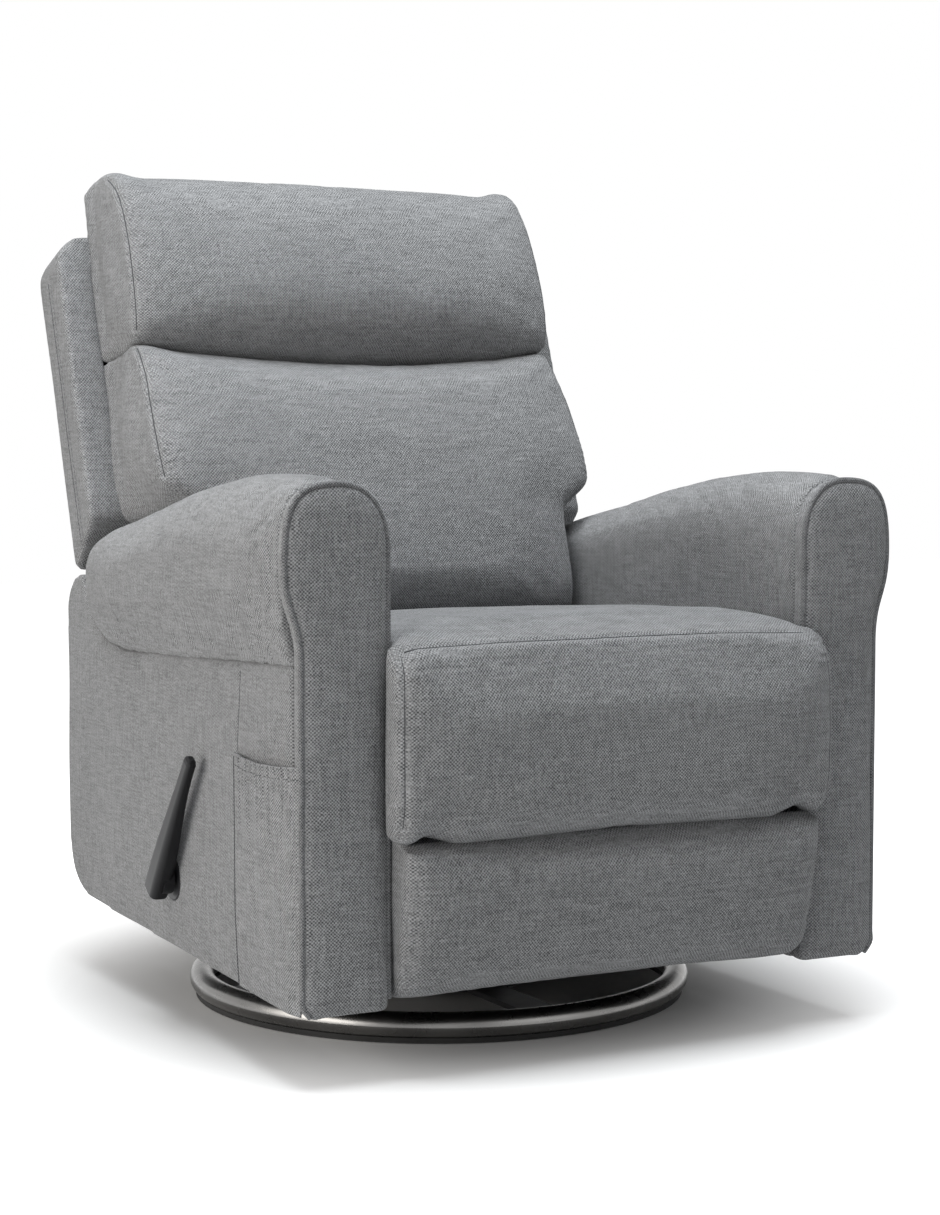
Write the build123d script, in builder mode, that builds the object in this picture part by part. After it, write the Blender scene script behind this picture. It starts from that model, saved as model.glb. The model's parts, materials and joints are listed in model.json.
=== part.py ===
# Swivel recliner: a padded armchair on a round steel ring, with a reclining back,
# a footrest that swings out on links, and a side lever that works the footrest.
# Millimetres, +Z up.  Origin on the floor at the swivel axis; the chair faces -Y.
# Left and right are the sitter's: the lever and the pocket are on the right, at -X.
import os
from math import atan2, cos, degrees, hypot, radians, sin

from build123d import *

# Main sizes
INNER_WIDTH = 524.0          # clear width between the arms
ARM_WIDTH = 100.0            # arm below the roll
ROLL_OVERHANG = 18.0         # the roll stands out past the arm's side
ARM_FRONT = 400.0            # ahead of the swivel axis
ARM_REAR_Y = 338.0
ARM_BOTTOM_Z = 76.0
ARM_FOOT_RISE = 24.0         # the arm's lower edge rises by this to its rear corner
ROLL_TOP_FRONT_Z = 634.0
FRONT_DIP = 5.0              # the front panel's top is this much under the roll's
ROLL_TOP_REAR_Z = 566.0
SEAM_FRONT_Z = 442.0         # seam under the roll, at the front
SEAM_DROP = 21.0             # how far that seam falls towards the rear
ROLL_REAR_Y = 274.0
SEAT_LEAD = 50.0             # seat's front ahead of the arms' front
SEAT_EDGE_Z = 463.0          # seam along the front edge of the seat
BACK_TILT = 20.0             # upright back, from the vertical
BACK_LENGTH = 738.0          # from the back pivot to the top of the head cushion
BACK_INSET = 5.0             # the back stands inside the arms' sides
CUSHION_INSET = 54.0         # back cushions inside the back's sides

# Fits and clearances
BORE_CLEARANCE = 0.3
LAYER_GAP = 1.0
FACE_GAP = 0.3               # padded piece to the board it lies on
SIDE_GAP = 5.0               # padded piece to the arm beside it
RAIL_ARM_GAP = 10.0          # seat side rail to the arm's inner panel
FOOT_SIDE_GAP = 6.0          # footrest to the arm beside it
SHELL_SIDE_GAP = 12.0        # lower part of the back shell to the arm
CAVITY_GAP = 3.0             # back shell to the pivot bracket inside it

# Base: floor strip, ring, spider, swivel
RING_OUTER_R = 307.0
TUBE_R = 15.0
STRIP_THICKNESS = 4.0
STRIP_WIDTH = 16.0
STRIP_LIP = 2.0
SPIDER_BAR_WIDTH = 44.0
SPIDER_THICKNESS = 6.0
SPIDER_HUB_R = 118.0
PEDESTAL_FLANGE_R = 112.0
PEDESTAL_TOP_R = 78.0
PEDESTAL_HEIGHT = 48.0
PEDESTAL_WALL = 5.0
BEARING_THICKNESS = 5.0
BEARING_WIDTH = 22.0
TOP_PLATE_R = 122.0
TOP_PLATE_THICKNESS = 6.0
KING_PIN_R = 10.0
KING_PIN_HEAD_R = 17.0
KING_PIN_HEAD_HEIGHT = 8.0
BOLT_R = 5.0
BOLT_HEAD_R = 8.5
BOLT_HEAD_HEIGHT = 5.0
FLANGE_BOLT_OFFSET = 100.0   # from the swivel axis
BOLT_COUNT = 4

# Chassis
RAIL_WIDTH = 40.0
RAIL_HEIGHT = 30.0
RAIL_WALL = 3.0
RAIL_Y = 96.0                # cross rails, before and behind the swivel axis
PLATE_THICKNESS = 4.0
SHAFT_R = 8.0
SHAFT_AHEAD = 40.0
SHAFT_Z = 172.0
BUSH_WALL = 4.0
BUSH_FLANGE = 3.0

# Footrest linkage, side view.  Angles are from straight ahead, upwards positive.
MAIN_PIVOT_SETBACK = 100.0   # main pivot behind the arms' front
MAIN_PIVOT_Z = 246.0
MAIN_LENGTH = 165.0
MAIN_ANGLE = -104.2
GUIDE_OFFSET = 42.0          # guide link hole back along the main link
REACH_PIN_LEAD = 62.0        # lower hole of the footrest bracket, from the main pivot
REACH_PIN_DROP = 56.0
CONTROL_AHEAD = 32.0         # control pivot from the main pivot
CONTROL_ABOVE = 18.0
CRANK_LENGTH = 50.0
LINK_THICKNESS = 4.0
LINK_HALF_WIDTH = 8.0
BOSS_R = 9.5
PIN_R = 5.0

# Footrest
FOOT_TILT = 12.45            # panel leans back towards its lower edge
FOOT_LEAD = 30.0             # panel's upper edge ahead of the reach pin
FOOT_RISE = 53.0             # and above it
FOOT_LENGTH = 150.0
FOOT_BOARD_THICKNESS = 14.0
FOOT_PAD_THICKNESS = 44.0
FOOT_BOARD_INSET = 5.0
FOOT_BRACKET_INSET = 9.0     # bracket below the panel's upper edge
FOOT_FLANGE_WIDTH = 30.0
FOOT_FLANGE_THICKNESS = 3.0
FOOT_LIP = 8.0               # pad stands up past the board's upper edge
FOOT_EDGE = 24.0             # straight part of the pad's edges is this far short of its face
END_DRAW = 14.0              # soft fronts draw in by this at their ends

# Seat
SEAT_RAIL_THICKNESS = 22.0
SEAT_RAIL_BOTTOM_Z = 290.0
SEAT_RAIL_TOP_Z = 347.0
SEAT_RAIL_SETBACK = 15.0     # seat rails behind the arms' front
SEAT_RAIL_REAR_Y = 132.0
STRAP_THICKNESS = 3.0
STRAP_WIDTH = 50.0
SEAT_STRAP_COUNT = 5
SEAT_CROWN = 8.0
SEAT_REAR_Y = 92.0
SEAT_ROLL_BOTTOM_Z = 260.0
SEAT_ROLL_DEPTH = 62.0
SEAT_SEAM_SETBACK = 24.0
SEAT_ROLL_EDGE = 8.0         # upright part of the border's rear lower corner
SEAT_ROLL_UNDER = 26.0       # lowest line of the border, ahead of its rear face
SEAT_ROLL_BOW = 3.0          # belly of the border's front face
SEAT_ROLL_LOWER = 30.0       # front face starts this far over the lowest line
SEAT_ROLL_BELLY = 90.0
SEAT_ROLL_UPPER = 32.0       # front face ends this far under the seam
SEAT_ROLL_SHOULDER = 9.0
SEAT_ROLL_BULGE = 14.0       # border spreads in front of the arms by this
SEAT_BULGE_GAP = 3.0         # that spread part to the arm's front

# Back
BACK_PIVOT_Y = 180.0
BACK_PIVOT_Z = 300.0
SHELL_REAR = 69.0            # shell rear face behind the pivot
SHELL_DEPTH = 90.0
SHELL_TOP = 674.0            # along the back, from the pivot
SHELL_CORNER_R = 44.0
SHELL_WALL = 24.0
SHELL_RIM = 48.0
SHELL_EDGE_R = 10.0
EAR_REAR = 240.0             # lower end of the shell's wide part, rear face
EAR_RISE = 48.0              # the same edge rises towards the front
SHELL_BELOW = 40.0           # shell below the pivot
SHELL_RIM_START = 90.0       # the lower rim begins above the side plates
POST_WIDTH = 40.0
POST_DEPTH = 44.0
POST_TOP = 624.0
POST_BELOW = 10.0
BACK_RAIL_HEIGHT = 45.0
BACK_MID_RAIL = 330.0
BACK_STRAP_COUNT = 5
BRACKET_WIDTH = 36.0
BRACKET_LENGTH = 190.0
BRACKET_BOLT_R = 4.0
BRACKET_BOLT_HEAD = 2.0
BRACKET_BOLT_LENGTH = 24.0
LUMBAR_BOTTOM = 112.0
LUMBAR_EAR = 286.0
CHANNEL = 490.0              # sewn channel between lumbar and head cushions
CHANNEL_GAP = 3.0
CUSHION_EDGE = 126.0         # cushion sides, ahead of the pivot plane
CUSHION_CROWN = 152.0        # middle of the cushions, ahead of the pivot plane
EAR_FLARE = 8.0              # lumbar cushion spreads over the arms
LUMBAR_SIDE_GAP = 7.0        # lumbar cushion to the arm beside it

# Arms
PANEL_THICKNESS = 12.0
INNER_PANEL_THICKNESS = 10.0
FRONT_PANEL_THICKNESS = 26.0
FRONT_EDGE_R = 8.0
FRAME_MEMBER = 45.0
SIDE_CORNER_R = 80.0
SIDE_TOP_Z = 506.0           # side panel behind the roll's rear end
SIDE_TOP_R = 52.0
SEAM_REAR_Y = 140.0          # where the roll seam turns up round the roll's rear end
APRON_Y = 255.0
APRON_THICKNESS = 20.0
APRON_TOP_Z = 232.0
APRON_BOTTOM_Z = 96.0

# Pocket
POCKET_INSET = 2.0           # pocket behind the front panel's seam
POCKET_LENGTH = 150.0
POCKET_TOP_Z = 337.0
POCKET_DEPTH = 12.0
POCKET_WALL = 2.5

# Lever
LEVER_LEAN = 36.0
LEVER_UP = 186.0
LEVER_DOWN = 19.0
LEVER_TIP = 7.0              # rounded upper end of the lever
LEVER_HUB_R = 19.0
LEVER_HUB_LENGTH = 12.0
LEVER_THICKNESS = 23.0
LEVER_WIDTH = 32.0
SHAFT_IN_LEVER = 10.0
ESCUTCHEON_R = 28.0
ESCUTCHEON_THICKNESS = 5.0
ESCUTCHEON_EDGE = 2.0
LEVER_STANDOFF = 3.0

# Worked-out positions
ARM_FRONT_Y = -ARM_FRONT
SEAT_FRONT_Y = ARM_FRONT_Y - SEAT_LEAD
SEAT_RAIL_FRONT_Y = ARM_FRONT_Y + SEAT_RAIL_SETBACK
SHAFT_Y = -SHAFT_AHEAD
MAIN_PIVOT_Y = ARM_FRONT_Y + MAIN_PIVOT_SETBACK
REACH_PIN_Y = MAIN_PIVOT_Y - REACH_PIN_LEAD
REACH_PIN_Z = MAIN_PIVOT_Z - REACH_PIN_DROP
FOOT_TOP_Y = REACH_PIN_Y - FOOT_LEAD
FOOT_TOP_Z = REACH_PIN_Z + FOOT_RISE
SHELL_BOTTOM = -SHELL_BELOW
POST_BOTTOM = -POST_BELOW
ARM_INNER_X = INNER_WIDTH / 2
ARM_SIDE_X = ARM_INNER_X + ARM_WIDTH
ROLL_SIDE_X = ARM_SIDE_X + ROLL_OVERHANG
RING_R = RING_OUTER_R - TUBE_R
RING_Z = STRIP_THICKNESS + TUBE_R
SPIDER_TOP_Z = RING_Z + SPIDER_THICKNESS / 2
PEDESTAL_TOP_Z = SPIDER_TOP_Z + PEDESTAL_HEIGHT
TOP_PLATE_Z = PEDESTAL_TOP_Z + BEARING_THICKNESS
RAIL_BOTTOM_Z = TOP_PLATE_Z + TOP_PLATE_THICKNESS
RAIL_TOP_Z = RAIL_BOTTOM_Z + RAIL_HEIGHT
RAIL_X = ARM_INNER_X - RAIL_ARM_GAP
PLATE_OUTER_X = RAIL_X - SEAT_RAIL_THICKNESS
PLATE_INNER_X = PLATE_OUTER_X - PLATE_THICKNESS
FOOT_HALF_WIDTH = ARM_INNER_X - FOOT_SIDE_GAP
BACK_HALF_WIDTH = ARM_SIDE_X - BACK_INSET
CUSHION_HALF_WIDTH = BACK_HALF_WIDTH - CUSHION_INSET
SHELL_LOWER_HALF_WIDTH = ARM_INNER_X - SHELL_SIDE_GAP
FRONT_PANEL_REAR_Y = ARM_FRONT_Y + FRONT_PANEL_THICKNESS

# Link layers, inwards from the side plate; the control link is outside it
MAIN_X = PLATE_INNER_X - LAYER_GAP - LINK_THICKNESS
REACH_X = MAIN_X - LAYER_GAP - LINK_THICKNESS
FOOT_BRACKET_X = REACH_X - LAYER_GAP - LINK_THICKNESS
CONTROL_X = PLATE_OUTER_X + LAYER_GAP
CAVITY_HALF_WIDTH = MAIN_X + LINK_THICKNESS + CAVITY_GAP


def ahead(length, angle):
    """Side-view offset (Y, Z) of a length at an angle from straight ahead."""
    return -length * cos(radians(angle)), length * sin(radians(angle))


def shifted(point, offset):
    return point[0] + offset[0], point[1] + offset[1]


MAIN_PIVOT = (MAIN_PIVOT_Y, MAIN_PIVOT_Z)
MAIN_END = shifted(MAIN_PIVOT, ahead(MAIN_LENGTH, MAIN_ANGLE))
GUIDE_PIN = shifted(MAIN_PIVOT, ahead(MAIN_LENGTH - GUIDE_OFFSET, MAIN_ANGLE))
DRIVE_PIN = shifted(MAIN_PIVOT, ahead(CRANK_LENGTH, MAIN_ANGLE))
REACH_PIN = (REACH_PIN_Y, REACH_PIN_Z)
GUIDE_END = shifted(REACH_PIN, ahead(-GUIDE_OFFSET, MAIN_ANGLE))
CONTROL_PIVOT = shifted(MAIN_PIVOT, (-CONTROL_AHEAD, CONTROL_ABOVE))
CONTROL_END = shifted(MAIN_END, (-CONTROL_AHEAD, CONTROL_ABOVE))
SHAFT = (SHAFT_Y, SHAFT_Z)
CRANK_PIN = shifted(SHAFT, ahead(CRANK_LENGTH, MAIN_ANGLE))
BACK_PIVOT = (BACK_PIVOT_Y, BACK_PIVOT_Z)

# Planes of the tilted pieces
BACK_S = sin(radians(BACK_TILT))
BACK_C = cos(radians(BACK_TILT))
BACK_ORIGIN = (0, BACK_PIVOT_Y, BACK_PIVOT_Z)
BACK_FACE = Plane(origin=BACK_ORIGIN, x_dir=(1, 0, 0), z_dir=(0, -BACK_C, BACK_S))
BACK_SIDE = Plane(origin=BACK_ORIGIN, x_dir=(0, -BACK_C, BACK_S), z_dir=(-1, 0, 0))
BACK_CROSS = Plane(origin=BACK_ORIGIN, x_dir=(-1, 0, 0), z_dir=(0, BACK_S, BACK_C))
FOOT_S = sin(radians(FOOT_TILT))
FOOT_C = cos(radians(FOOT_TILT))
FOOT_FACE = Plane(
    origin=(0, FOOT_TOP_Y, FOOT_TOP_Z), x_dir=(1, 0, 0), z_dir=(0, -FOOT_C, -FOOT_S)
)
LEVER_S = sin(radians(LEVER_LEAN))
LEVER_C = cos(radians(LEVER_LEAN))


def save(part, label):
    part.label = label
    export_step(part, os.path.join("parts", label + ".step"))


def save_both(builder, label):
    """The right-hand piece and its mirror image."""
    save(builder.part, label + "_right")
    with BuildPart() as other:
        add(mirror(builder.part, about=Plane.YZ))
    save(other.part, label + "_left")


def save_pair(builder, label):
    """Right and left pieces together in one node."""
    with BuildPart() as pair:
        add(builder.part)
        mirror(builder.part, about=Plane.YZ)
    save(pair.part, label)


def side_plane(x):
    return Plane.YZ.offset(x)


def bar(start, end, width):
    """A round-ended bar between two holes, in the sketch that is open."""
    length = hypot(end[0] - start[0], end[1] - start[1])
    turn = degrees(atan2(end[1] - start[1], end[0] - start[0]))
    middle = ((start[0] + end[0]) / 2, (start[1] + end[1]) / 2)
    with Locations(middle):
        SlotCenterToCenter(length, width, rotation=turn)


def discs(points, radius, mode=Mode.ADD):
    with Locations(*points):
        Circle(radius, mode=mode)


def pins(points, radius, x_from, x_to):
    """Round pins across the side view, in the part that is open."""
    with BuildSketch(side_plane(x_from)) as ends:
        discs(points, radius)
    extrude(ends.sketch, amount=x_to - x_from)


os.makedirs("parts", exist_ok=True)

# Base
with BuildPart() as floor_strip:
    with BuildSketch(Plane.XZ) as strip_profile:
        with Locations((RING_R, (STRIP_THICKNESS + STRIP_LIP) / 2)):
            Rectangle(STRIP_WIDTH, STRIP_THICKNESS + STRIP_LIP)
        with Locations((RING_R, RING_Z)):
            Circle(TUBE_R + BORE_CLEARANCE / 2, mode=Mode.SUBTRACT)
    revolve(axis=Axis.Z)
save(floor_strip.part, "floor_strip")

with BuildPart() as base_ring:
    with BuildSketch(Plane.XZ):
        with Locations((RING_R, RING_Z)):
            Circle(TUBE_R)
    revolve(axis=Axis.Z)
save(base_ring.part, "base_ring")

with BuildPart() as base_spider:
    with BuildSketch(Plane.XY.offset(SPIDER_TOP_Z - SPIDER_THICKNESS)):
        Rectangle(2 * RING_R, SPIDER_BAR_WIDTH)
        Rectangle(SPIDER_BAR_WIDTH, 2 * RING_R)
        Circle(SPIDER_HUB_R)
        Circle(KING_PIN_R + BORE_CLEARANCE, mode=Mode.SUBTRACT)
        with PolarLocations(FLANGE_BOLT_OFFSET, BOLT_COUNT, start_angle=45):
            Circle(BOLT_R + BORE_CLEARANCE, mode=Mode.SUBTRACT)
    extrude(amount=SPIDER_THICKNESS)
    with BuildSketch(Plane.XZ):
        with Locations((RING_R, RING_Z)):
            Circle(TUBE_R + BORE_CLEARANCE / 2)
    revolve(axis=Axis.Z, mode=Mode.SUBTRACT)
save(base_spider.part, "base_spider")

with BuildPart() as swivel_pedestal:
    with BuildSketch(Plane.XZ):
        with BuildLine():
            Polyline(
                (KING_PIN_R + BORE_CLEARANCE, PEDESTAL_TOP_Z - PEDESTAL_WALL),
                (PEDESTAL_TOP_R - PEDESTAL_WALL, PEDESTAL_TOP_Z - PEDESTAL_WALL),
                (PEDESTAL_TOP_R - PEDESTAL_WALL, SPIDER_TOP_Z),
                (PEDESTAL_FLANGE_R, SPIDER_TOP_Z),
                (PEDESTAL_FLANGE_R, SPIDER_TOP_Z + PEDESTAL_WALL),
                (PEDESTAL_TOP_R, SPIDER_TOP_Z + PEDESTAL_WALL),
                (PEDESTAL_TOP_R, PEDESTAL_TOP_Z),
                (KING_PIN_R + BORE_CLEARANCE, PEDESTAL_TOP_Z),
                close=True,
            )
        make_face()
    revolve(axis=Axis.Z)
    with BuildSketch(Plane.XY.offset(SPIDER_TOP_Z)):
        with PolarLocations(FLANGE_BOLT_OFFSET, BOLT_COUNT, start_angle=45):
            Circle(BOLT_R + BORE_CLEARANCE)
    extrude(amount=PEDESTAL_WALL, mode=Mode.SUBTRACT)
save(swivel_pedestal.part, "swivel_pedestal")

with BuildPart() as flange_bolts:
    with BuildSketch(Plane.XY.offset(SPIDER_TOP_Z - SPIDER_THICKNESS)):
        with PolarLocations(FLANGE_BOLT_OFFSET, BOLT_COUNT, start_angle=45):
            Circle(BOLT_R)
    extrude(amount=SPIDER_THICKNESS + PEDESTAL_WALL)
    with BuildSketch(Plane.XY.offset(SPIDER_TOP_Z + PEDESTAL_WALL)):
        with PolarLocations(FLANGE_BOLT_OFFSET, BOLT_COUNT, start_angle=45):
            RegularPolygon(BOLT_HEAD_R, 6)
    extrude(amount=BOLT_HEAD_HEIGHT)
save(flange_bolts.part, "flange_bolts")

with BuildPart() as bearing_ring:
    with BuildSketch(Plane.XY.offset(PEDESTAL_TOP_Z)):
        Circle(PEDESTAL_TOP_R)
        Circle(PEDESTAL_TOP_R - BEARING_WIDTH, mode=Mode.SUBTRACT)
    extrude(amount=BEARING_THICKNESS - BORE_CLEARANCE)
save(bearing_ring.part, "bearing_ring")

with BuildPart() as king_pin:
    with BuildSketch(Plane.XY.offset(PEDESTAL_TOP_Z - PEDESTAL_WALL - KING_PIN_HEAD_HEIGHT)):
        RegularPolygon(KING_PIN_HEAD_R, 6)
    extrude(amount=KING_PIN_HEAD_HEIGHT)
    with BuildSketch(Plane.XY.offset(PEDESTAL_TOP_Z - PEDESTAL_WALL)):
        Circle(KING_PIN_R)
    extrude(amount=PEDESTAL_WALL + BEARING_THICKNESS + TOP_PLATE_THICKNESS + BORE_CLEARANCE)
    with BuildSketch(Plane.XY.offset(RAIL_BOTTOM_Z + BORE_CLEARANCE)):
        Circle(KING_PIN_HEAD_R)
    extrude(amount=KING_PIN_HEAD_HEIGHT)
save(king_pin.part, "king_pin")

# Chassis, turning on the swivel
with BuildPart() as swivel_plate:
    with BuildSketch(Plane.XY.offset(TOP_PLATE_Z)):
        Circle(TOP_PLATE_R)
        Circle(KING_PIN_R + BORE_CLEARANCE, mode=Mode.SUBTRACT)
        with GridLocations(2 * RAIL_WIDTH, 2 * RAIL_Y, 2, 2):
            Circle(BOLT_R + BORE_CLEARANCE, mode=Mode.SUBTRACT)
    extrude(amount=TOP_PLATE_THICKNESS)
save(swivel_plate.part, "swivel_plate")


def cross_rail(y):
    with BuildPart() as rail:
        with BuildSketch(Plane.YZ.offset(-ARM_INNER_X)):
            with Locations((y, RAIL_BOTTOM_Z + RAIL_HEIGHT / 2)):
                Rectangle(RAIL_WIDTH, RAIL_HEIGHT)
                Rectangle(
                    RAIL_WIDTH - 2 * RAIL_WALL, RAIL_HEIGHT - 2 * RAIL_WALL, mode=Mode.SUBTRACT
                )
        extrude(amount=INNER_WIDTH)
        with BuildSketch(Plane.XY.offset(RAIL_BOTTOM_Z)):
            with Locations((-RAIL_WIDTH, y), (RAIL_WIDTH, y)):
                Circle(BOLT_R + BORE_CLEARANCE)
        extrude(amount=RAIL_HEIGHT, mode=Mode.SUBTRACT)
    return rail.part


save(cross_rail(-RAIL_Y), "cross_rail_front")
save(cross_rail(RAIL_Y), "cross_rail_rear")

with BuildPart() as rail_bolts:
    with BuildSketch(Plane.XY.offset(TOP_PLATE_Z)):
        with GridLocations(2 * RAIL_WIDTH, 2 * RAIL_Y, 2, 2):
            Circle(BOLT_R)
    extrude(amount=TOP_PLATE_THICKNESS + RAIL_HEIGHT)
    with BuildSketch(Plane.XY.offset(RAIL_TOP_Z)):
        with GridLocations(2 * RAIL_WIDTH, 2 * RAIL_Y, 2, 2):
            RegularPolygon(BOLT_HEAD_R, 6)
    extrude(amount=BOLT_HEAD_HEIGHT)
save(rail_bolts.part, "rail_bolts")

PLATE_TOP_Z = SEAT_RAIL_TOP_Z - FACE_GAP
PLATE_FOOT = RAIL_Y + RAIL_WIDTH / 2
with BuildPart() as side_plate:
    with BuildSketch(side_plane(-PLATE_OUTER_X)):
        with BuildLine():
            Polyline(
                (CONTROL_PIVOT[0] - 2 * BOSS_R, PLATE_TOP_Z),
                (BACK_PIVOT_Y + 2.5 * BOSS_R, PLATE_TOP_Z),
                (BACK_PIVOT_Y + 2.5 * BOSS_R, BACK_PIVOT_Z - 2 * BOSS_R),
                (BACK_PIVOT_Y - 2 * BOSS_R, BACK_PIVOT_Z - 5.5 * BOSS_R),
                (PLATE_FOOT, RAIL_TOP_Z),
                (-PLATE_FOOT, RAIL_TOP_Z),
                (MAIN_PIVOT_Y + 2 * BOSS_R, MAIN_PIVOT_Z - 2 * BOSS_R),
                (CONTROL_PIVOT[0] - 2 * BOSS_R, MAIN_PIVOT_Z - BOSS_R),
                close=True,
            )
        make_face()
        discs([SHAFT], SHAFT_R + BUSH_WALL + BORE_CLEARANCE / 2, mode=Mode.SUBTRACT)
    extrude(amount=PLATE_THICKNESS)
    pins([MAIN_PIVOT], PIN_R, -PLATE_INNER_X, -MAIN_X + LAYER_GAP / 2)
    pins([CONTROL_PIVOT], PIN_R, -PLATE_OUTER_X, -CONTROL_X - LINK_THICKNESS - LAYER_GAP / 2)
    pins([BACK_PIVOT], PIN_R, -PLATE_INNER_X, -MAIN_X - LAYER_GAP / 2)
save_both(side_plate, "side_plate")

with BuildPart() as shaft_bush:
    with BuildSketch(side_plane(-PLATE_OUTER_X - BUSH_FLANGE)):
        discs([SHAFT], SHAFT_R + 2 * BUSH_WALL)
        discs([SHAFT], SHAFT_R + BORE_CLEARANCE, mode=Mode.SUBTRACT)
    extrude(amount=BUSH_FLANGE)
    with BuildSketch(side_plane(-PLATE_OUTER_X)):
        discs([SHAFT], SHAFT_R + BUSH_WALL)
        discs([SHAFT], SHAFT_R + BORE_CLEARANCE, mode=Mode.SUBTRACT)
    extrude(amount=PLATE_THICKNESS)
save_pair(shaft_bush, "shaft_bushes")

# Seat box
SEAT_RAIL_HEIGHT = SEAT_RAIL_TOP_Z - SEAT_RAIL_BOTTOM_Z
with BuildPart() as seat_side_rail:
    with BuildSketch(side_plane(-RAIL_X)):
        with Locations((
            (SEAT_RAIL_FRONT_Y + SEAT_RAIL_REAR_Y) / 2,
            (SEAT_RAIL_TOP_Z + SEAT_RAIL_BOTTOM_Z) / 2,
        )):
            Rectangle(SEAT_RAIL_REAR_Y - SEAT_RAIL_FRONT_Y, SEAT_RAIL_HEIGHT)
    extrude(amount=SEAT_RAIL_THICKNESS)
save_both(seat_side_rail, "seat_side_rail")


def seat_end_rail(y, half):
    with BuildPart() as rail:
        with BuildSketch(Plane.XY.offset(SEAT_RAIL_BOTTOM_Z)):
            with Locations((0, y)):
                Rectangle(2 * half, SEAT_RAIL_THICKNESS)
        extrude(amount=SEAT_RAIL_HEIGHT)
    return rail.part


save(seat_end_rail(SEAT_RAIL_FRONT_Y + SEAT_RAIL_THICKNESS / 2, PLATE_OUTER_X), "seat_front_rail")
save(seat_end_rail(SEAT_RAIL_REAR_Y - SEAT_RAIL_THICKNESS / 2, PLATE_INNER_X), "seat_rear_rail")

SEAT_SPAN = SEAT_RAIL_REAR_Y - SEAT_RAIL_FRONT_Y
with BuildPart() as seat_webbing:
    with BuildSketch(Plane.XY.offset(SEAT_RAIL_TOP_Z)):
        with Locations((0, (SEAT_RAIL_FRONT_Y + SEAT_RAIL_REAR_Y) / 2)):
            with GridLocations(2 * PLATE_OUTER_X / SEAT_STRAP_COUNT, SEAT_SPAN, SEAT_STRAP_COUNT, 1):
                Rectangle(STRAP_WIDTH, SEAT_SPAN)
    extrude(amount=STRAP_THICKNESS)
save(seat_webbing.part, "seat_webbing")


def crowned(half, low, edge, crown):
    """A crowned section: flat underneath, upright sides, one arc across the top."""
    with BuildLine() as outline:
        Polyline((-half, edge), (-half, low), (half, low), (half, edge))
        ThreePointArc((half, edge), (0, crown), (-half, edge))
    make_face(outline.edges())


SEAT_PAD_Z = SEAT_RAIL_TOP_Z + STRAP_THICKNESS + FACE_GAP
SEAT_PAD_FRONT_Y = SEAT_FRONT_Y + SEAT_SEAM_SETBACK
SEAT_HALF = ARM_INNER_X - SIDE_GAP
SEAT_PAD_LENGTH = SEAT_REAR_Y - SEAT_PAD_FRONT_Y
# Place along the pad; rise of its edge over the front seam and crown over that edge, in crowns
SEAT_STATIONS = (
    (0.0, -0.3, 0.3),
    (0.1, -0.1, 0.8),
    (0.35, 0.0, 1.0),
    (0.8, -0.6, 1.0),
    (1.0, -1.5, 0.5),
)
with BuildPart() as seat_pad:
    for place, rise, crown in SEAT_STATIONS:
        station_y = SEAT_PAD_FRONT_Y + place * SEAT_PAD_LENGTH
        edge_z = SEAT_EDGE_Z + rise * SEAT_CROWN
        with BuildSketch(Plane.XZ.offset(-station_y)):
            crowned(SEAT_HALF, SEAT_PAD_Z, edge_z, edge_z + crown * SEAT_CROWN)
    loft()
save(seat_pad.part, "seat_pad")

SEAT_ROLL_REAR_Y = SEAT_FRONT_Y + SEAT_ROLL_DEPTH
SEAT_ROLL_HALF = ARM_INNER_X - SIDE_GAP / 2


def seat_roll_section(draw):
    """Rounded front border of the seat; draw pulls the end sections in."""
    front = SEAT_FRONT_Y + draw
    top = SEAT_EDGE_Z - draw / 2
    low = SEAT_ROLL_BOTTOM_Z + draw / 2
    seam = (SEAT_PAD_FRONT_Y - FACE_GAP, top)
    rear = (SEAT_ROLL_REAR_Y, low + SEAT_ROLL_EDGE)
    lower = (front + SEAT_ROLL_BOW, low + SEAT_ROLL_LOWER)
    upper = (front + SEAT_ROLL_BOW, top - SEAT_ROLL_UPPER)
    with BuildLine() as outline:
        Polyline(seam, (seam[0], SEAT_PAD_Z), (SEAT_ROLL_REAR_Y, SEAT_PAD_Z), rear)
        ThreePointArc(rear, (SEAT_ROLL_REAR_Y - SEAT_ROLL_UNDER, low), lower)
        ThreePointArc(lower, (front, low + SEAT_ROLL_BELLY), upper)
        ThreePointArc(upper, (front + SEAT_ROLL_SHOULDER, top - SEAT_ROLL_SHOULDER), seam)
    make_face(outline.edges())


def spread_section(end, across, rear, draw_share):
    """Section of the border's end, where it spreads over the front of the arm."""
    draw = draw_share * END_DRAW
    front = SEAT_FRONT_Y + SEAT_ROLL_BOW + draw
    top = SEAT_EDGE_Z - SEAT_ROLL_UPPER - draw
    low = SEAT_ROLL_BOTTOM_Z + SEAT_ROLL_LOWER + draw
    with BuildSketch(side_plane(end * across)) as section:
        with BuildLine():
            Polyline((rear, top), (rear, low), (front, low), (front, top), close=True)
        make_face()
    return section.sketch


BESIDE_PAD_Y = SEAT_PAD_FRONT_Y - FACE_GAP
BEFORE_ARM_Y = ARM_FRONT_Y - SEAT_BULGE_GAP
# Distance from the middle, rear face and share of the end draw there
SPREAD_STATIONS = (
    (0.9 * SEAT_ROLL_HALF, BESIDE_PAD_Y, 0.6),
    (SEAT_HALF + FACE_GAP, BESIDE_PAD_Y, 0.65),
    (SEAT_ROLL_HALF, BEFORE_ARM_Y, 0.7),
    (SEAT_ROLL_HALF + 0.7 * SEAT_ROLL_BULGE, BEFORE_ARM_Y, 1.0),
    (SEAT_ROLL_HALF + SEAT_ROLL_BULGE, BEFORE_ARM_Y, 1.6),
)
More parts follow.
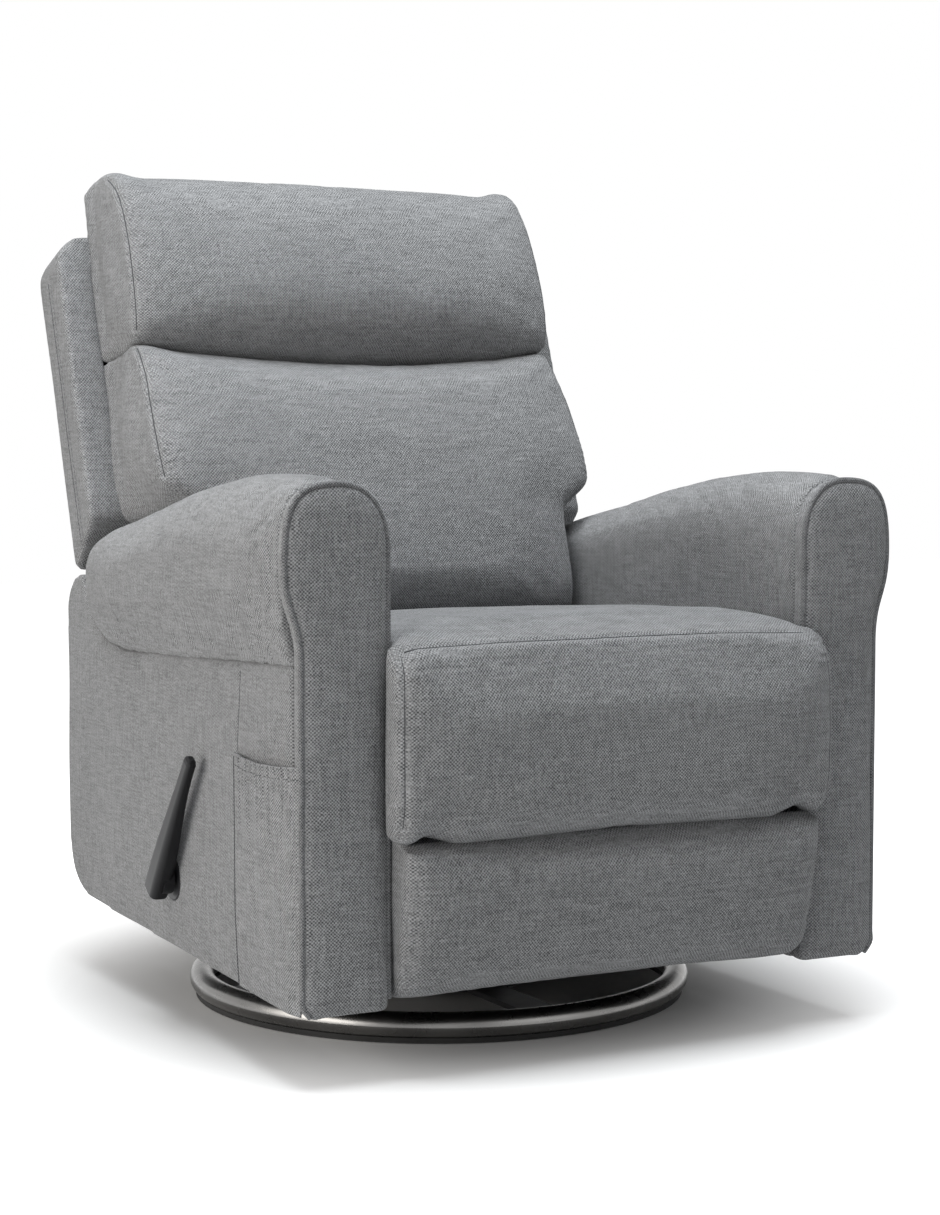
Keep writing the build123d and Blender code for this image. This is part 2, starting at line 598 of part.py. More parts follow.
# Place across the width and share of the end draw there
ROLL_DRAW = (
    (-1.0, 1.0),
    (-0.95, 0.43),
    (-0.8, 0.14),
    (0.0, 0.0),
    (0.8, 0.14),
    (0.95, 0.43),
    (1.0, 1.0),
)
with BuildPart() as seat_front_roll:
    for place, draw in ROLL_DRAW:
        with BuildSketch(side_plane(place * SEAT_ROLL_HALF)):
            seat_roll_section(draw * END_DRAW)
    loft(ruled=True)
    for end in (-1, 1):
        loft([spread_section(end, *station) for station in SPREAD_STATIONS], ruled=True)
save(seat_front_roll.part, "seat_front_roll")

# Arms, the right one and its mirror image
SEAM_SLOPE = SEAM_DROP / (SEAM_REAR_Y - FRONT_PANEL_REAR_Y)


def seam_z(y):
    return SEAM_FRONT_Z - SEAM_SLOPE * (y - FRONT_PANEL_REAR_Y)


# Shares of the roll's width and height at which its outline turns
ROLL_TOP_SHARE = 0.48
ROLL_BULGE_SHARE = 0.56
ROLL_INNER_SHARE = 0.62
# Fullness of the arch on its inner and outer side; 0.55 would be a quarter ellipse
ARCH_INNER_FULLNESS = 0.62
ARCH_OUTER_FULLNESS = 0.78
NECK_FULLNESS = 0.5


def quarter(side, crown, fullness):
    """Curve from an upright side up and over to a level crown."""
    Bezier(
        side,
        (side[0], side[1] + fullness * (crown[1] - side[1])),
        (crown[0] + fullness * (side[0] - crown[0]), crown[1]),
        crown,
    )


def roll_outline(low, top, draw, necked=False):
    """Outline of the arm over its seam, seen from the front (right arm, -X)."""
    inner = -ARM_INNER_X - draw
    outer = -ROLL_SIDE_X + draw
    foot = -ARM_SIDE_X + draw
    high = top - low
    crown = (inner + ROLL_TOP_SHARE * (outer - inner), top)
    bulge = low + ROLL_BULGE_SHARE * high
    quarter((inner, low + ROLL_INNER_SHARE * high), crown, ARCH_INNER_FULLNESS)
    quarter((outer, bulge), crown, ARCH_OUTER_FULLNESS)
    if necked:
        ease = NECK_FULLNESS * (bulge - low)
        Bezier((outer, bulge), (outer, bulge - ease), (foot, low + ease), (foot, low))
    else:
        TangentArc((outer, bulge), (foot, low), tangent=(0, -1))


ROLL_HEIGHT = ROLL_TOP_FRONT_Z - SEAM_FRONT_Z
PANEL_TOP_Z = ROLL_TOP_FRONT_Z - FRONT_DIP
with BuildPart() as arm_front_panel:
    with BuildSketch(Plane.XZ.offset(-FRONT_PANEL_REAR_Y)):
        with BuildLine():
            roll_outline(SEAM_FRONT_Z, PANEL_TOP_Z, 0.0, necked=True)
            Polyline(
                (-ARM_SIDE_X, SEAM_FRONT_Z),
                (-ARM_SIDE_X, ARM_BOTTOM_Z),
                (-ARM_INNER_X, ARM_BOTTOM_Z),
                (-ARM_INNER_X, SEAM_FRONT_Z + ROLL_INNER_SHARE * (PANEL_TOP_Z - SEAM_FRONT_Z)),
            )
        make_face()
    extrude(amount=FRONT_PANEL_THICKNESS)
    chamfer(arm_front_panel.faces().sort_by(Axis.Y)[0].edges(), FRONT_EDGE_R, FRONT_EDGE_R / 2)
save_both(arm_front_panel, "arm_front_panel")

ROLL_LENGTH = ROLL_REAR_Y - FRONT_PANEL_REAR_Y
ROLL_FALL = ROLL_TOP_FRONT_Z - ROLL_TOP_REAR_Z
# Place along the roll; shares of the fall of its top, of its height by which its underside
# lifts, and of the arm's width by which it draws in
ROLL_STATIONS = (
    (0.0, 0.0, 0.0, 0.0),
    (0.25, -0.04, 0.0, 0.0),
    (0.5, 0.2, 0.0, 0.0),
    (0.77, 0.7, 0.0, 0.0),
)
ROLL_END_STATIONS = (
    (0.77, 0.7, 0.0, 0.0),
    (0.87, 0.92, 0.0625, 0.02),
    (0.95, 1.15, 0.21875, 0.08),
    (1.0, 1.5, 0.4166, 0.24),
)


def roll_station_y(place):
    return FRONT_PANEL_REAR_Y + FACE_GAP + place * ROLL_LENGTH


def roll_underside_z(place, lift):
    return seam_z(roll_station_y(place)) + lift * ROLL_HEIGHT + FACE_GAP


def roll_section(place, fall, lift, draw_share):
    station_y = roll_station_y(place)
    low = roll_underside_z(place, lift)
    top = ROLL_TOP_FRONT_Z - fall * ROLL_FALL
    draw = draw_share * ARM_WIDTH
    with BuildSketch(Plane.XZ.offset(-station_y)) as section:
        with BuildLine():
            roll_outline(low, top, draw)
            Polyline(
                (-ARM_SIDE_X + draw, low),
                (-ARM_INNER_X - draw, low),
                (-ARM_INNER_X - draw, low + ROLL_INNER_SHARE * (top - low)),
            )
        make_face()
    return section.sketch


with BuildPart() as arm_roll:
    loft([roll_section(*station) for station in ROLL_STATIONS])
    loft([roll_section(*station) for station in ROLL_END_STATIONS], ruled=True)
save_both(arm_roll, "arm_roll")

FOOT_SLOPE = ARM_FOOT_RISE / (ARM_REAR_Y - FRONT_PANEL_REAR_Y)


def arm_foot_z(y):
    return ARM_BOTTOM_Z + FOOT_SLOPE * (y - FRONT_PANEL_REAR_Y)


SIDE_SHOULDER_Z = SEAM_FRONT_Z - SEAM_DROP
SIDE_FRONT = (FRONT_PANEL_REAR_Y, SEAM_FRONT_Z)
SHOULDER_R = 0.6 * SIDE_CORNER_R
SHOULDER_EASE = SHOULDER_R * (1 - sin(radians(45)))


def arm_side_outline(rear):
    """Side view of the arm below its roll."""
    corner_start = (rear - SIDE_CORNER_R, arm_foot_z(rear - SIDE_CORNER_R))
    corner_end = (rear, arm_foot_z(rear) + SIDE_CORNER_R)
    with BuildLine() as outline:
        Polyline(
            corner_start,
            (FRONT_PANEL_REAR_Y, ARM_BOTTOM_Z),
            SIDE_FRONT,
            (SEAM_REAR_Y, SIDE_SHOULDER_Z),
            (rear - SHOULDER_R, SIDE_SHOULDER_Z),
        )
        ThreePointArc(
            (rear - SHOULDER_R, SIDE_SHOULDER_Z),
            (rear - SHOULDER_EASE, SIDE_SHOULDER_Z - SHOULDER_EASE),
            (rear, SIDE_SHOULDER_Z - SHOULDER_R),
        )
        Line((rear, SIDE_SHOULDER_Z - SHOULDER_R), corner_end)
        RadiusArc(corner_end, corner_start, SIDE_CORNER_R)
    make_face(outline.edges())


def side_panel_outline():
    """Outer side: its top follows the roll's underside and rises behind the roll's end."""
    under_roll = [
        (roll_station_y(place), roll_underside_z(place, lift) - FACE_GAP)
        for place, fall, lift, draw in ROLL_END_STATIONS
    ]
    top_start = (ROLL_REAR_Y + SIDE_GAP, SIDE_TOP_Z)
    top_ease = SIDE_TOP_R * (1 - sin(radians(45)))
    corner_start = (ARM_REAR_Y - SIDE_CORNER_R, arm_foot_z(ARM_REAR_Y - SIDE_CORNER_R))
    corner_end = (ARM_REAR_Y, arm_foot_z(ARM_REAR_Y) + SIDE_CORNER_R)
    with BuildLine() as outline:
        Polyline(
            corner_start,
            (FRONT_PANEL_REAR_Y, ARM_BOTTOM_Z),
            SIDE_FRONT,
            *under_roll,
            top_start,
            (ARM_REAR_Y - SIDE_TOP_R, SIDE_TOP_Z),
        )
        ThreePointArc(
            (ARM_REAR_Y - SIDE_TOP_R, SIDE_TOP_Z),
            (ARM_REAR_Y - top_ease, SIDE_TOP_Z - top_ease),
            (ARM_REAR_Y, SIDE_TOP_Z - SIDE_TOP_R),
        )
        Line((ARM_REAR_Y, SIDE_TOP_Z - SIDE_TOP_R), corner_end)
        RadiusArc(corner_end, corner_start, SIDE_CORNER_R)
    make_face(outline.edges())


with BuildPart() as arm_side_panel:
    with BuildSketch(side_plane(-ARM_SIDE_X)):
        side_panel_outline()
    extrude(amount=PANEL_THICKNESS)
SHAFT_HOLE_R = SHAFT_R + BUSH_WALL
with BuildPart() as arm_side_panel_holed:
    add(arm_side_panel.part)
    with BuildSketch(side_plane(-ARM_SIDE_X)):
        discs([SHAFT], SHAFT_HOLE_R)
    extrude(amount=PANEL_THICKNESS, mode=Mode.SUBTRACT)
save(arm_side_panel_holed.part, "arm_side_panel_right")
with BuildPart() as arm_side_panel_other:
    add(mirror(arm_side_panel.part, about=Plane.YZ))
save(arm_side_panel_other.part, "arm_side_panel_left")

INNER_REAR_Y = ARM_REAR_Y - PANEL_THICKNESS
with BuildPart() as arm_inner_panel:
    with BuildSketch(side_plane(-ARM_INNER_X - INNER_PANEL_THICKNESS)):
        arm_side_outline(INNER_REAR_Y)
    extrude(amount=INNER_PANEL_THICKNESS)
with BuildPart() as arm_inner_panel_holed:
    add(arm_inner_panel.part)
    with BuildSketch(side_plane(-ARM_INNER_X - INNER_PANEL_THICKNESS)):
        discs([SHAFT], SHAFT_HOLE_R)
    extrude(amount=INNER_PANEL_THICKNESS, mode=Mode.SUBTRACT)
save(arm_inner_panel_holed.part, "arm_inner_panel_right")
with BuildPart() as arm_inner_panel_other:
    add(mirror(arm_inner_panel.part, about=Plane.YZ))
save(arm_inner_panel_other.part, "arm_inner_panel_left")

FRAME_X = ARM_SIDE_X - PANEL_THICKNESS
FRAME_DEPTH = ARM_WIDTH - PANEL_THICKNESS - INNER_PANEL_THICKNESS
with BuildPart() as arm_frame:
    with BuildSketch(side_plane(-FRAME_X)):
        arm_side_outline(INNER_REAR_Y)
        with Locations((
            (FRONT_PANEL_REAR_Y + INNER_REAR_Y) / 2,
            (arm_foot_z(INNER_REAR_Y) + SIDE_SHOULDER_Z) / 2,
        )):
            RectangleRounded(
                INNER_REAR_Y - FRONT_PANEL_REAR_Y - 2 * FRAME_MEMBER,
                SIDE_SHOULDER_Z - arm_foot_z(INNER_REAR_Y) - 2 * FRAME_MEMBER,
                FRAME_MEMBER,
                mode=Mode.SUBTRACT,
            )
    extrude(amount=FRAME_DEPTH)
save_both(arm_frame, "arm_frame")

with BuildPart() as rear_apron:
    with BuildSketch(Plane.XY.offset(APRON_BOTTOM_Z)):
        with Locations((0, APRON_Y + APRON_THICKNESS / 2)):
            Rectangle(INNER_WIDTH, APRON_THICKNESS)
    extrude(amount=APRON_TOP_Z - APRON_BOTTOM_Z)
save(rear_apron.part, "rear_apron")

POCKET_FRONT_Y = FRONT_PANEL_REAR_Y + POCKET_INSET
POCKET_MID_Y = POCKET_FRONT_Y + POCKET_LENGTH / 2
POCKET_BOTTOM_Z = arm_foot_z(POCKET_FRONT_Y + POCKET_LENGTH)
with BuildPart() as side_pocket:
    with BuildSketch(Plane.XY.offset(POCKET_BOTTOM_Z)):
        with Locations((-ARM_SIDE_X - POCKET_DEPTH / 2, POCKET_MID_Y)):
            Rectangle(POCKET_DEPTH, POCKET_LENGTH)
    extrude(amount=POCKET_TOP_Z - POCKET_BOTTOM_Z)
    with BuildSketch(Plane.XY.offset(POCKET_BOTTOM_Z + POCKET_WALL)):
        with Locations((-ARM_SIDE_X - POCKET_DEPTH / 2, POCKET_MID_Y)):
            Rectangle(POCKET_DEPTH - 2 * POCKET_WALL, POCKET_LENGTH - 2 * POCKET_WALL)
    extrude(amount=POCKET_TOP_Z - POCKET_BOTTOM_Z, mode=Mode.SUBTRACT)
save(side_pocket.part, "side_pocket")

# Lever and shaft
ESCUTCHEON_X = ARM_SIDE_X + ESCUTCHEON_THICKNESS
with BuildPart() as lever_escutcheon:
    with BuildSketch(side_plane(-ESCUTCHEON_X)):
        discs([SHAFT], ESCUTCHEON_R)
        discs([SHAFT], SHAFT_R + BUSH_WALL, mode=Mode.SUBTRACT)
    extrude(amount=ESCUTCHEON_THICKNESS)
    rim = lever_escutcheon.faces().sort_by(Axis.X)[0].edges().sort_by(SortBy.LENGTH)[-1]
    chamfer(rim, ESCUTCHEON_EDGE)
save(lever_escutcheon.part, "lever_escutcheon")

LEVER_X = ESCUTCHEON_X + LEVER_STANDOFF
SHAFT_END_X = LEVER_X + SHAFT_IN_LEVER
with BuildPart() as drive_shaft:
    pins([SHAFT], SHAFT_R, -SHAFT_END_X, PLATE_OUTER_X + 2 * BUSH_FLANGE)
    for crank_x in (-MAIN_X - LINK_THICKNESS, MAIN_X):
        with BuildSketch(side_plane(crank_x)):
            bar(SHAFT, CRANK_PIN, 2 * LINK_HALF_WIDTH)
            discs([SHAFT], SHAFT_R + BUSH_WALL)
            discs([CRANK_PIN], BOSS_R)
        extrude(amount=LINK_THICKNESS)
    pins([CRANK_PIN], PIN_R, -MAIN_X, -REACH_X + LAYER_GAP / 2)
    pins([CRANK_PIN], PIN_R, MAIN_X, REACH_X - LAYER_GAP / 2)
save(drive_shaft.part, "drive_shaft")

# Place along the lever; shares of its thickness and width; its middle outwards, in thicknesses
LEVER_STATIONS = (
    (-LEVER_DOWN, 0.96, 1.0, 0.52),
    (0.0, 1.0, 1.0, 0.52),
    (0.45 * LEVER_UP, 0.78, 0.75, 0.61),
    (LEVER_UP - LEVER_TIP, 0.52, 0.5, 0.65),
)
LEVER_TIP_STATIONS = (
    (LEVER_UP - LEVER_TIP, 0.52, 0.5, 0.65),
    (LEVER_UP - 0.4 * LEVER_TIP, 0.45, 0.43, 0.65),
    (LEVER_UP, 0.24, 0.23, 0.65),
)
LEVER_ROUNDING = 0.36        # corner radius as a share of the thickness


def lever_section(along, thick, wide, out):
    across = thick * LEVER_THICKNESS
    station = Plane(
        origin=(
            -LEVER_X - out * LEVER_THICKNESS,
            SHAFT_Y - along * LEVER_S,
            SHAFT_Z + along * LEVER_C,
        ),
        x_dir=(1, 0, 0),
        z_dir=(0, -LEVER_S, LEVER_C),
    )
    with BuildSketch(station) as section:
        RectangleRounded(across, wide * LEVER_WIDTH, LEVER_ROUNDING * across)
    return section.sketch


with BuildPart() as lever_handle:
    loft([lever_section(*station) for station in LEVER_STATIONS])
    loft([lever_section(*station) for station in LEVER_TIP_STATIONS], ruled=True)
    with BuildSketch(side_plane(-LEVER_X - LEVER_HUB_LENGTH)):
        discs([SHAFT], LEVER_HUB_R)
    extrude(amount=LEVER_HUB_LENGTH)
    with BuildSketch(side_plane(-SHAFT_END_X)):
        discs([SHAFT], SHAFT_R)
    extrude(amount=SHAFT_END_X - LEVER_X, mode=Mode.SUBTRACT)
save(lever_handle.part, "lever_handle")

# Footrest links, right side first
with BuildPart() as main_link:
    with BuildSketch(side_plane(-MAIN_X - LINK_THICKNESS)):
        bar(MAIN_PIVOT, MAIN_END, 2 * LINK_HALF_WIDTH)
        discs([MAIN_PIVOT, GUIDE_PIN, MAIN_END], BOSS_R)
        discs([MAIN_PIVOT], PIN_R + BORE_CLEARANCE, mode=Mode.SUBTRACT)
    extrude(amount=LINK_THICKNESS)
    pins([GUIDE_PIN, MAIN_END, DRIVE_PIN], PIN_R, -MAIN_X, -REACH_X + LAYER_GAP / 2)
save_pair(main_link, "main_links")

with BuildPart() as reach_link:
    with BuildSketch(side_plane(-REACH_X - LINK_THICKNESS)):
        bar(MAIN_END, REACH_PIN, 2 * LINK_HALF_WIDTH)
        discs([MAIN_END, REACH_PIN, CONTROL_END], BOSS_R)
        discs([MAIN_END], PIN_R + BORE_CLEARANCE, mode=Mode.SUBTRACT)
    extrude(amount=LINK_THICKNESS)
    pins([CONTROL_END], PIN_R, -REACH_X - LINK_THICKNESS, -CONTROL_X - LINK_THICKNESS - LAYER_GAP / 2)
    pins([REACH_PIN], PIN_R, -REACH_X, -FOOT_BRACKET_X + LAYER_GAP / 2)
save_pair(reach_link, "reach_links")

with BuildPart() as guide_link:
    with BuildSketch(side_plane(-REACH_X - LINK_THICKNESS)):
        bar(GUIDE_PIN, GUIDE_END, 2 * LINK_HALF_WIDTH)
        discs([GUIDE_PIN], PIN_R + BORE_CLEARANCE, mode=Mode.SUBTRACT)
    extrude(amount=LINK_THICKNESS)
    pins([GUIDE_END], PIN_R, -REACH_X, -FOOT_BRACKET_X + LAYER_GAP / 2)
save_pair(guide_link, "guide_links")

with BuildPart() as control_link:
    with BuildSketch(side_plane(-CONTROL_X - LINK_THICKNESS)):
        bar(CONTROL_PIVOT, CONTROL_END, 2 * LINK_HALF_WIDTH)
        discs([CONTROL_PIVOT, CONTROL_END], BOSS_R)
        discs([CONTROL_PIVOT, CONTROL_END], PIN_R + BORE_CLEARANCE, mode=Mode.SUBTRACT)
    extrude(amount=LINK_THICKNESS)
save_pair(control_link, "control_links")

with BuildPart() as drive_link:
    with BuildSketch(side_plane(-REACH_X - LINK_THICKNESS)):
        bar(CRANK_PIN, DRIVE_PIN, 2 * LINK_HALF_WIDTH)
        discs([CRANK_PIN, DRIVE_PIN], PIN_R + BORE_CLEARANCE, mode=Mode.SUBTRACT)
    extrude(amount=LINK_THICKNESS)
save_pair(drive_link, "drive_links")

# Footrest
BRACKET_TOP = FOOT_FACE.from_local_coords((0, -FOOT_BRACKET_INSET, 0))
BRACKET_LOW = FOOT_FACE.from_local_coords((0, -0.8 * FOOT_LENGTH, 0))
with BuildPart() as foot_bracket:
    with BuildSketch(side_plane(-FOOT_BRACKET_X - LINK_THICKNESS)):
        with BuildLine():
            Polyline(
                (BRACKET_TOP.Y, BRACKET_TOP.Z),
                (BRACKET_LOW.Y, BRACKET_LOW.Z),
                (REACH_PIN_Y + LINK_THICKNESS, REACH_PIN_Z - BOSS_R),
                (REACH_PIN_Y + BOSS_R, REACH_PIN_Z),
                (GUIDE_END[0] + BOSS_R, GUIDE_END[1] + LINK_THICKNESS / 2),
                close=True,
            )
        make_face()
        discs([REACH_PIN, GUIDE_END], BOSS_R)
        discs([REACH_PIN, GUIDE_END], PIN_R + BORE_CLEARANCE, mode=Mode.SUBTRACT)
    extrude(amount=LINK_THICKNESS)
    with BuildSketch(FOOT_FACE):
        with Locations((-FOOT_BRACKET_X - LINK_THICKNESS + FOOT_FLANGE_WIDTH / 2, -0.45 * FOOT_LENGTH)):
            Rectangle(FOOT_FLANGE_WIDTH, 0.7 * FOOT_LENGTH)
    extrude(amount=-FOOT_FLANGE_THICKNESS)
    with BuildSketch(FOOT_FACE):
        Rectangle(4 * FOOT_HALF_WIDTH, 4 * FOOT_LENGTH)
    extrude(amount=FOOT_PAD_THICKNESS, mode=Mode.SUBTRACT)
save_pair(foot_bracket, "foot_brackets")

with BuildPart() as foot_board:
    with BuildSketch(FOOT_FACE):
        with Locations((0, -FOOT_LENGTH / 2)):
            Rectangle(2 * (FOOT_HALF_WIDTH - FOOT_BOARD_INSET), FOOT_LENGTH - 2 * FOOT_BOARD_INSET)
    extrude(amount=FOOT_BOARD_THICKNESS)
save(foot_board.part, "foot_board")


def foot_pad_section(draw):
    """Section of the footrest pad: flat at the board, rounded to the front."""
    low = FOOT_BOARD_THICKNESS + FACE_GAP
    high = FOOT_BOARD_THICKNESS + FOOT_PAD_THICKNESS - draw
    top = -draw / 3
    foot = -FOOT_LENGTH + draw / 3
    lip = (top + FOOT_LIP, high - FOOT_EDGE)
    lip_face = (top - FOOT_LIP / 2, high - FOOT_EDGE / 5)
    foot_edge = (foot, high - FOOT_EDGE)
    foot_face = (foot + FOOT_EDGE / 2, high - FOOT_EDGE / 6)
    with BuildLine() as outline:
        Polyline(lip, (top, low), (foot, low), foot_edge)
        ThreePointArc(foot_edge, (foot + FOOT_EDGE / 6, high - 0.42 * FOOT_EDGE), foot_face)
        ThreePointArc(foot_face, (-0.5 * FOOT_LENGTH, high), lip_face)
        ThreePointArc(lip_face, (top + 0.62 * FOOT_LIP, high - 0.45 * FOOT_EDGE), lip)
    make_face(outline.edges())


with BuildPart() as foot_pad:
    for place, draw in ROLL_DRAW:
        cut = Plane(
            origin=(place * FOOT_HALF_WIDTH, FOOT_TOP_Y, FOOT_TOP_Z),
            x_dir=(0, -FOOT_S, FOOT_C),
            z_dir=(1, 0, 0),
        )
        with BuildSketch(cut):
            foot_pad_section(draw * END_DRAW)
    loft(ruled=True)
save(foot_pad.part, "foot_pad")

# Back
SHELL_FRONT = SHELL_DEPTH - SHELL_REAR
with BuildPart() as back_shell:
    with BuildSketch(BACK_FACE.offset(-SHELL_REAR)):
        with BuildLine():
            Polyline(
                (-SHELL_LOWER_HALF_WIDTH, SHELL_BOTTOM),
                (SHELL_LOWER_HALF_WIDTH, SHELL_BOTTOM),
                (SHELL_LOWER_HALF_WIDTH, EAR_REAR),
                (BACK_HALF_WIDTH, EAR_REAR),
                (BACK_HALF_WIDTH, SHELL_TOP - SHELL_CORNER_R),
            )
            RadiusArc(
                (BACK_HALF_WIDTH, SHELL_TOP - SHELL_CORNER_R),
                (BACK_HALF_WIDTH - SHELL_CORNER_R, SHELL_TOP),
                -SHELL_CORNER_R,
            )
            Line(
                (BACK_HALF_WIDTH - SHELL_CORNER_R, SHELL_TOP),
                (-BACK_HALF_WIDTH + SHELL_CORNER_R, SHELL_TOP),
            )
            RadiusArc(
                (-BACK_HALF_WIDTH + SHELL_CORNER_R, SHELL_TOP),
                (-BACK_HALF_WIDTH, SHELL_TOP - SHELL_CORNER_R),
                -SHELL_CORNER_R,
            )
            Polyline(
                (-BACK_HALF_WIDTH, SHELL_TOP - SHELL_CORNER_R),
                (-BACK_HALF_WIDTH, EAR_REAR),
                (-SHELL_LOWER_HALF_WIDTH, EAR_REAR),
                (-SHELL_LOWER_HALF_WIDTH, SHELL_BOTTOM),
            )
        make_face()
    extrude(amount=SHELL_DEPTH)
    chamfer(back_shell.faces().sort_by(Axis(BACK_ORIGIN, BACK_FACE.z_dir))[0].edges(), SHELL_EDGE_R)
    with BuildSketch(BACK_FACE.offset(-SHELL_REAR + SHELL_WALL)):
        with BuildLine():
            Polyline(
                (-SHELL_LOWER_HALF_WIDTH - SIDE_GAP, SHELL_BOTTOM - SIDE_GAP),
                (SHELL_LOWER_HALF_WIDTH + SIDE_GAP, SHELL_BOTTOM - SIDE_GAP),
                (SHELL_LOWER_HALF_WIDTH + SIDE_GAP, SHELL_RIM_START),
                (CAVITY_HALF_WIDTH, SHELL_RIM_START),
                (CAVITY_HALF_WIDTH, EAR_REAR + EAR_RISE + SHELL_RIM),
                (BACK_HALF_WIDTH - SHELL_RIM, EAR_REAR + EAR_RISE + SHELL_RIM),
                (BACK_HALF_WIDTH - SHELL_RIM, SHELL_TOP - SHELL_RIM),
                (-BACK_HALF_WIDTH + SHELL_RIM, SHELL_TOP - SHELL_RIM),
                (-BACK_HALF_WIDTH + SHELL_RIM, EAR_REAR + EAR_RISE + SHELL_RIM),
                (-CAVITY_HALF_WIDTH, EAR_REAR + EAR_RISE + SHELL_RIM),
                (-CAVITY_HALF_WIDTH, SHELL_RIM_START),
                (-SHELL_LOWER_HALF_WIDTH - SIDE_GAP, SHELL_RIM_START),
                close=True,
            )
        make_face()
    extrude(amount=SHELL_DEPTH, mode=Mode.SUBTRACT)
    for side_x in (-BACK_HALF_WIDTH - SIDE_GAP, SHELL_LOWER_HALF_WIDTH):
        wedge = Plane(
            origin=(side_x, BACK_PIVOT_Y, BACK_PIVOT_Z), x_dir=BACK_SIDE.x_dir, z_dir=(-1, 0, 0)
        )
        with BuildSketch(wedge):
            with BuildLine():
                Polyline(
                    (-SHELL_REAR - SIDE_GAP, EAR_REAR - SIDE_GAP),
                    (-SHELL_REAR, EAR_REAR),
                    (SHELL_FRONT, EAR_REAR + EAR_RISE),
                    (SHELL_FRONT + SIDE_GAP, EAR_REAR - SIDE_GAP),
                    close=True,
                )
            make_face()
        extrude(amount=-(BACK_HALF_WIDTH + SIDE_GAP - SHELL_LOWER_HALF_WIDTH), mode=Mode.SUBTRACT)
save(back_shell.part, "back_shell")

POST_REAR = SHELL_REAR - SHELL_WALL - FACE_GAP
POST_OUTER_X = MAIN_X
POST_MID_X = POST_OUTER_X - POST_WIDTH / 2
POST_MIDDLE = (POST_TOP + POST_BOTTOM) / 2
BRACKET_MID = POST_DEPTH / 2 - POST_REAR
BRACKET_BOLTS = [(BRACKET_MID / 2, share * BRACKET_LENGTH) for share in (0.45, 0.85)]


def bracket_plane(x):
    """Side view of the back, on the right, at a distance x from the middle."""
    return Plane(origin=(-x, BACK_PIVOT_Y, BACK_PIVOT_Z), x_dir=BACK_SIDE.x_dir, z_dir=(-1, 0, 0))


with BuildPart() as back_frame:
    with BuildSketch(BACK_FACE.offset(-POST_REAR)):
        with Locations((-POST_MID_X, POST_MIDDLE), (POST_MID_X, POST_MIDDLE)):
            Rectangle(POST_WIDTH, POST_TOP - POST_BOTTOM)
        for rail_middle in (
            POST_BOTTOM + BACK_RAIL_HEIGHT,
            BACK_MID_RAIL,
            POST_TOP - BACK_RAIL_HEIGHT / 2,
        ):
            with Locations((0, rail_middle)):
                Rectangle(2 * POST_MID_X, BACK_RAIL_HEIGHT)
    extrude(amount=POST_DEPTH)
    with BuildSketch(bracket_plane(POST_OUTER_X)) as bolt_holes:
        discs(BRACKET_BOLTS, BRACKET_BOLT_R + BORE_CLEARANCE)
    hole_cut = extrude(bolt_holes.sketch, amount=-BRACKET_BOLT_LENGTH, mode=Mode.SUBTRACT)
    mirror(hole_cut, about=Plane.YZ, mode=Mode.SUBTRACT)
save(back_frame.part, "back_frame")

BACK_STRAP_SPAN = POST_TOP - LUMBAR_BOTTOM
with BuildPart() as back_webbing:
    with BuildSketch(BACK_FACE.offset(POST_DEPTH - POST_REAR)):
        with Locations((0, (POST_TOP + LUMBAR_BOTTOM) / 2)):
            with GridLocations(POST_MID_X, BACK_STRAP_SPAN / BACK_STRAP_COUNT, 1, BACK_STRAP_COUNT):
                Rectangle(2 * POST_OUTER_X - 2 * STRAP_THICKNESS, STRAP_WIDTH)
    extrude(amount=STRAP_THICKNESS)
save(back_webbing.part, "back_webbing")

with BuildPart() as back_bracket:
    with BuildSketch(bracket_plane(MAIN_X)):
        Circle(2 * BOSS_R)
        with Locations((BRACKET_MID / 2, BRACKET_LENGTH / 2)):
            Rectangle(BRACKET_WIDTH, BRACKET_LENGTH)
        Circle(PIN_R + BORE_CLEARANCE, mode=Mode.SUBTRACT)
        discs(BRACKET_BOLTS, BRACKET_BOLT_R + BORE_CLEARANCE, mode=Mode.SUBTRACT)
    extrude(amount=LINK_THICKNESS)
save_pair(back_bracket, "back_brackets")

with BuildPart() as bracket_bolts:
    with BuildSketch(bracket_plane(POST_OUTER_X - BRACKET_BOLT_LENGTH)):
        discs(BRACKET_BOLTS, BRACKET_BOLT_R)
    extrude(amount=BRACKET_BOLT_LENGTH + LINK_THICKNESS)
    with BuildSketch(bracket_plane(POST_OUTER_X + LINK_THICKNESS)):
        discs(BRACKET_BOLTS, BOLT_HEAD_R)
    extrude(amount=BRACKET_BOLT_HEAD)
save_pair(bracket_bolts, "bracket_bolts")

CUSHION_REAR = SHELL_FRONT + FACE_GAP


def back_section(along, half, edge, crown):
    """One section across the back: flat behind, crowned in front."""
    with BuildSketch(BACK_CROSS.offset(along)) as section:
        crowned(half, CUSHION_REAR, edge, crown)
    return section.sketch


LOWER_HALF = ARM_INNER_X - LUMBAR_SIDE_GAP
EAR_HALF = CUSHION_HALF_WIDTH + EAR_FLARE
LOWER_LENGTH = LUMBAR_EAR - LUMBAR_BOTTOM
EAR_LENGTH = CHANNEL - CHANNEL_GAP / 2 - LUMBAR_EAR
HEAD_BOTTOM = CHANNEL + CHANNEL_GAP / 2
HEAD_LENGTH = BACK_LENGTH - HEAD_BOTTOM
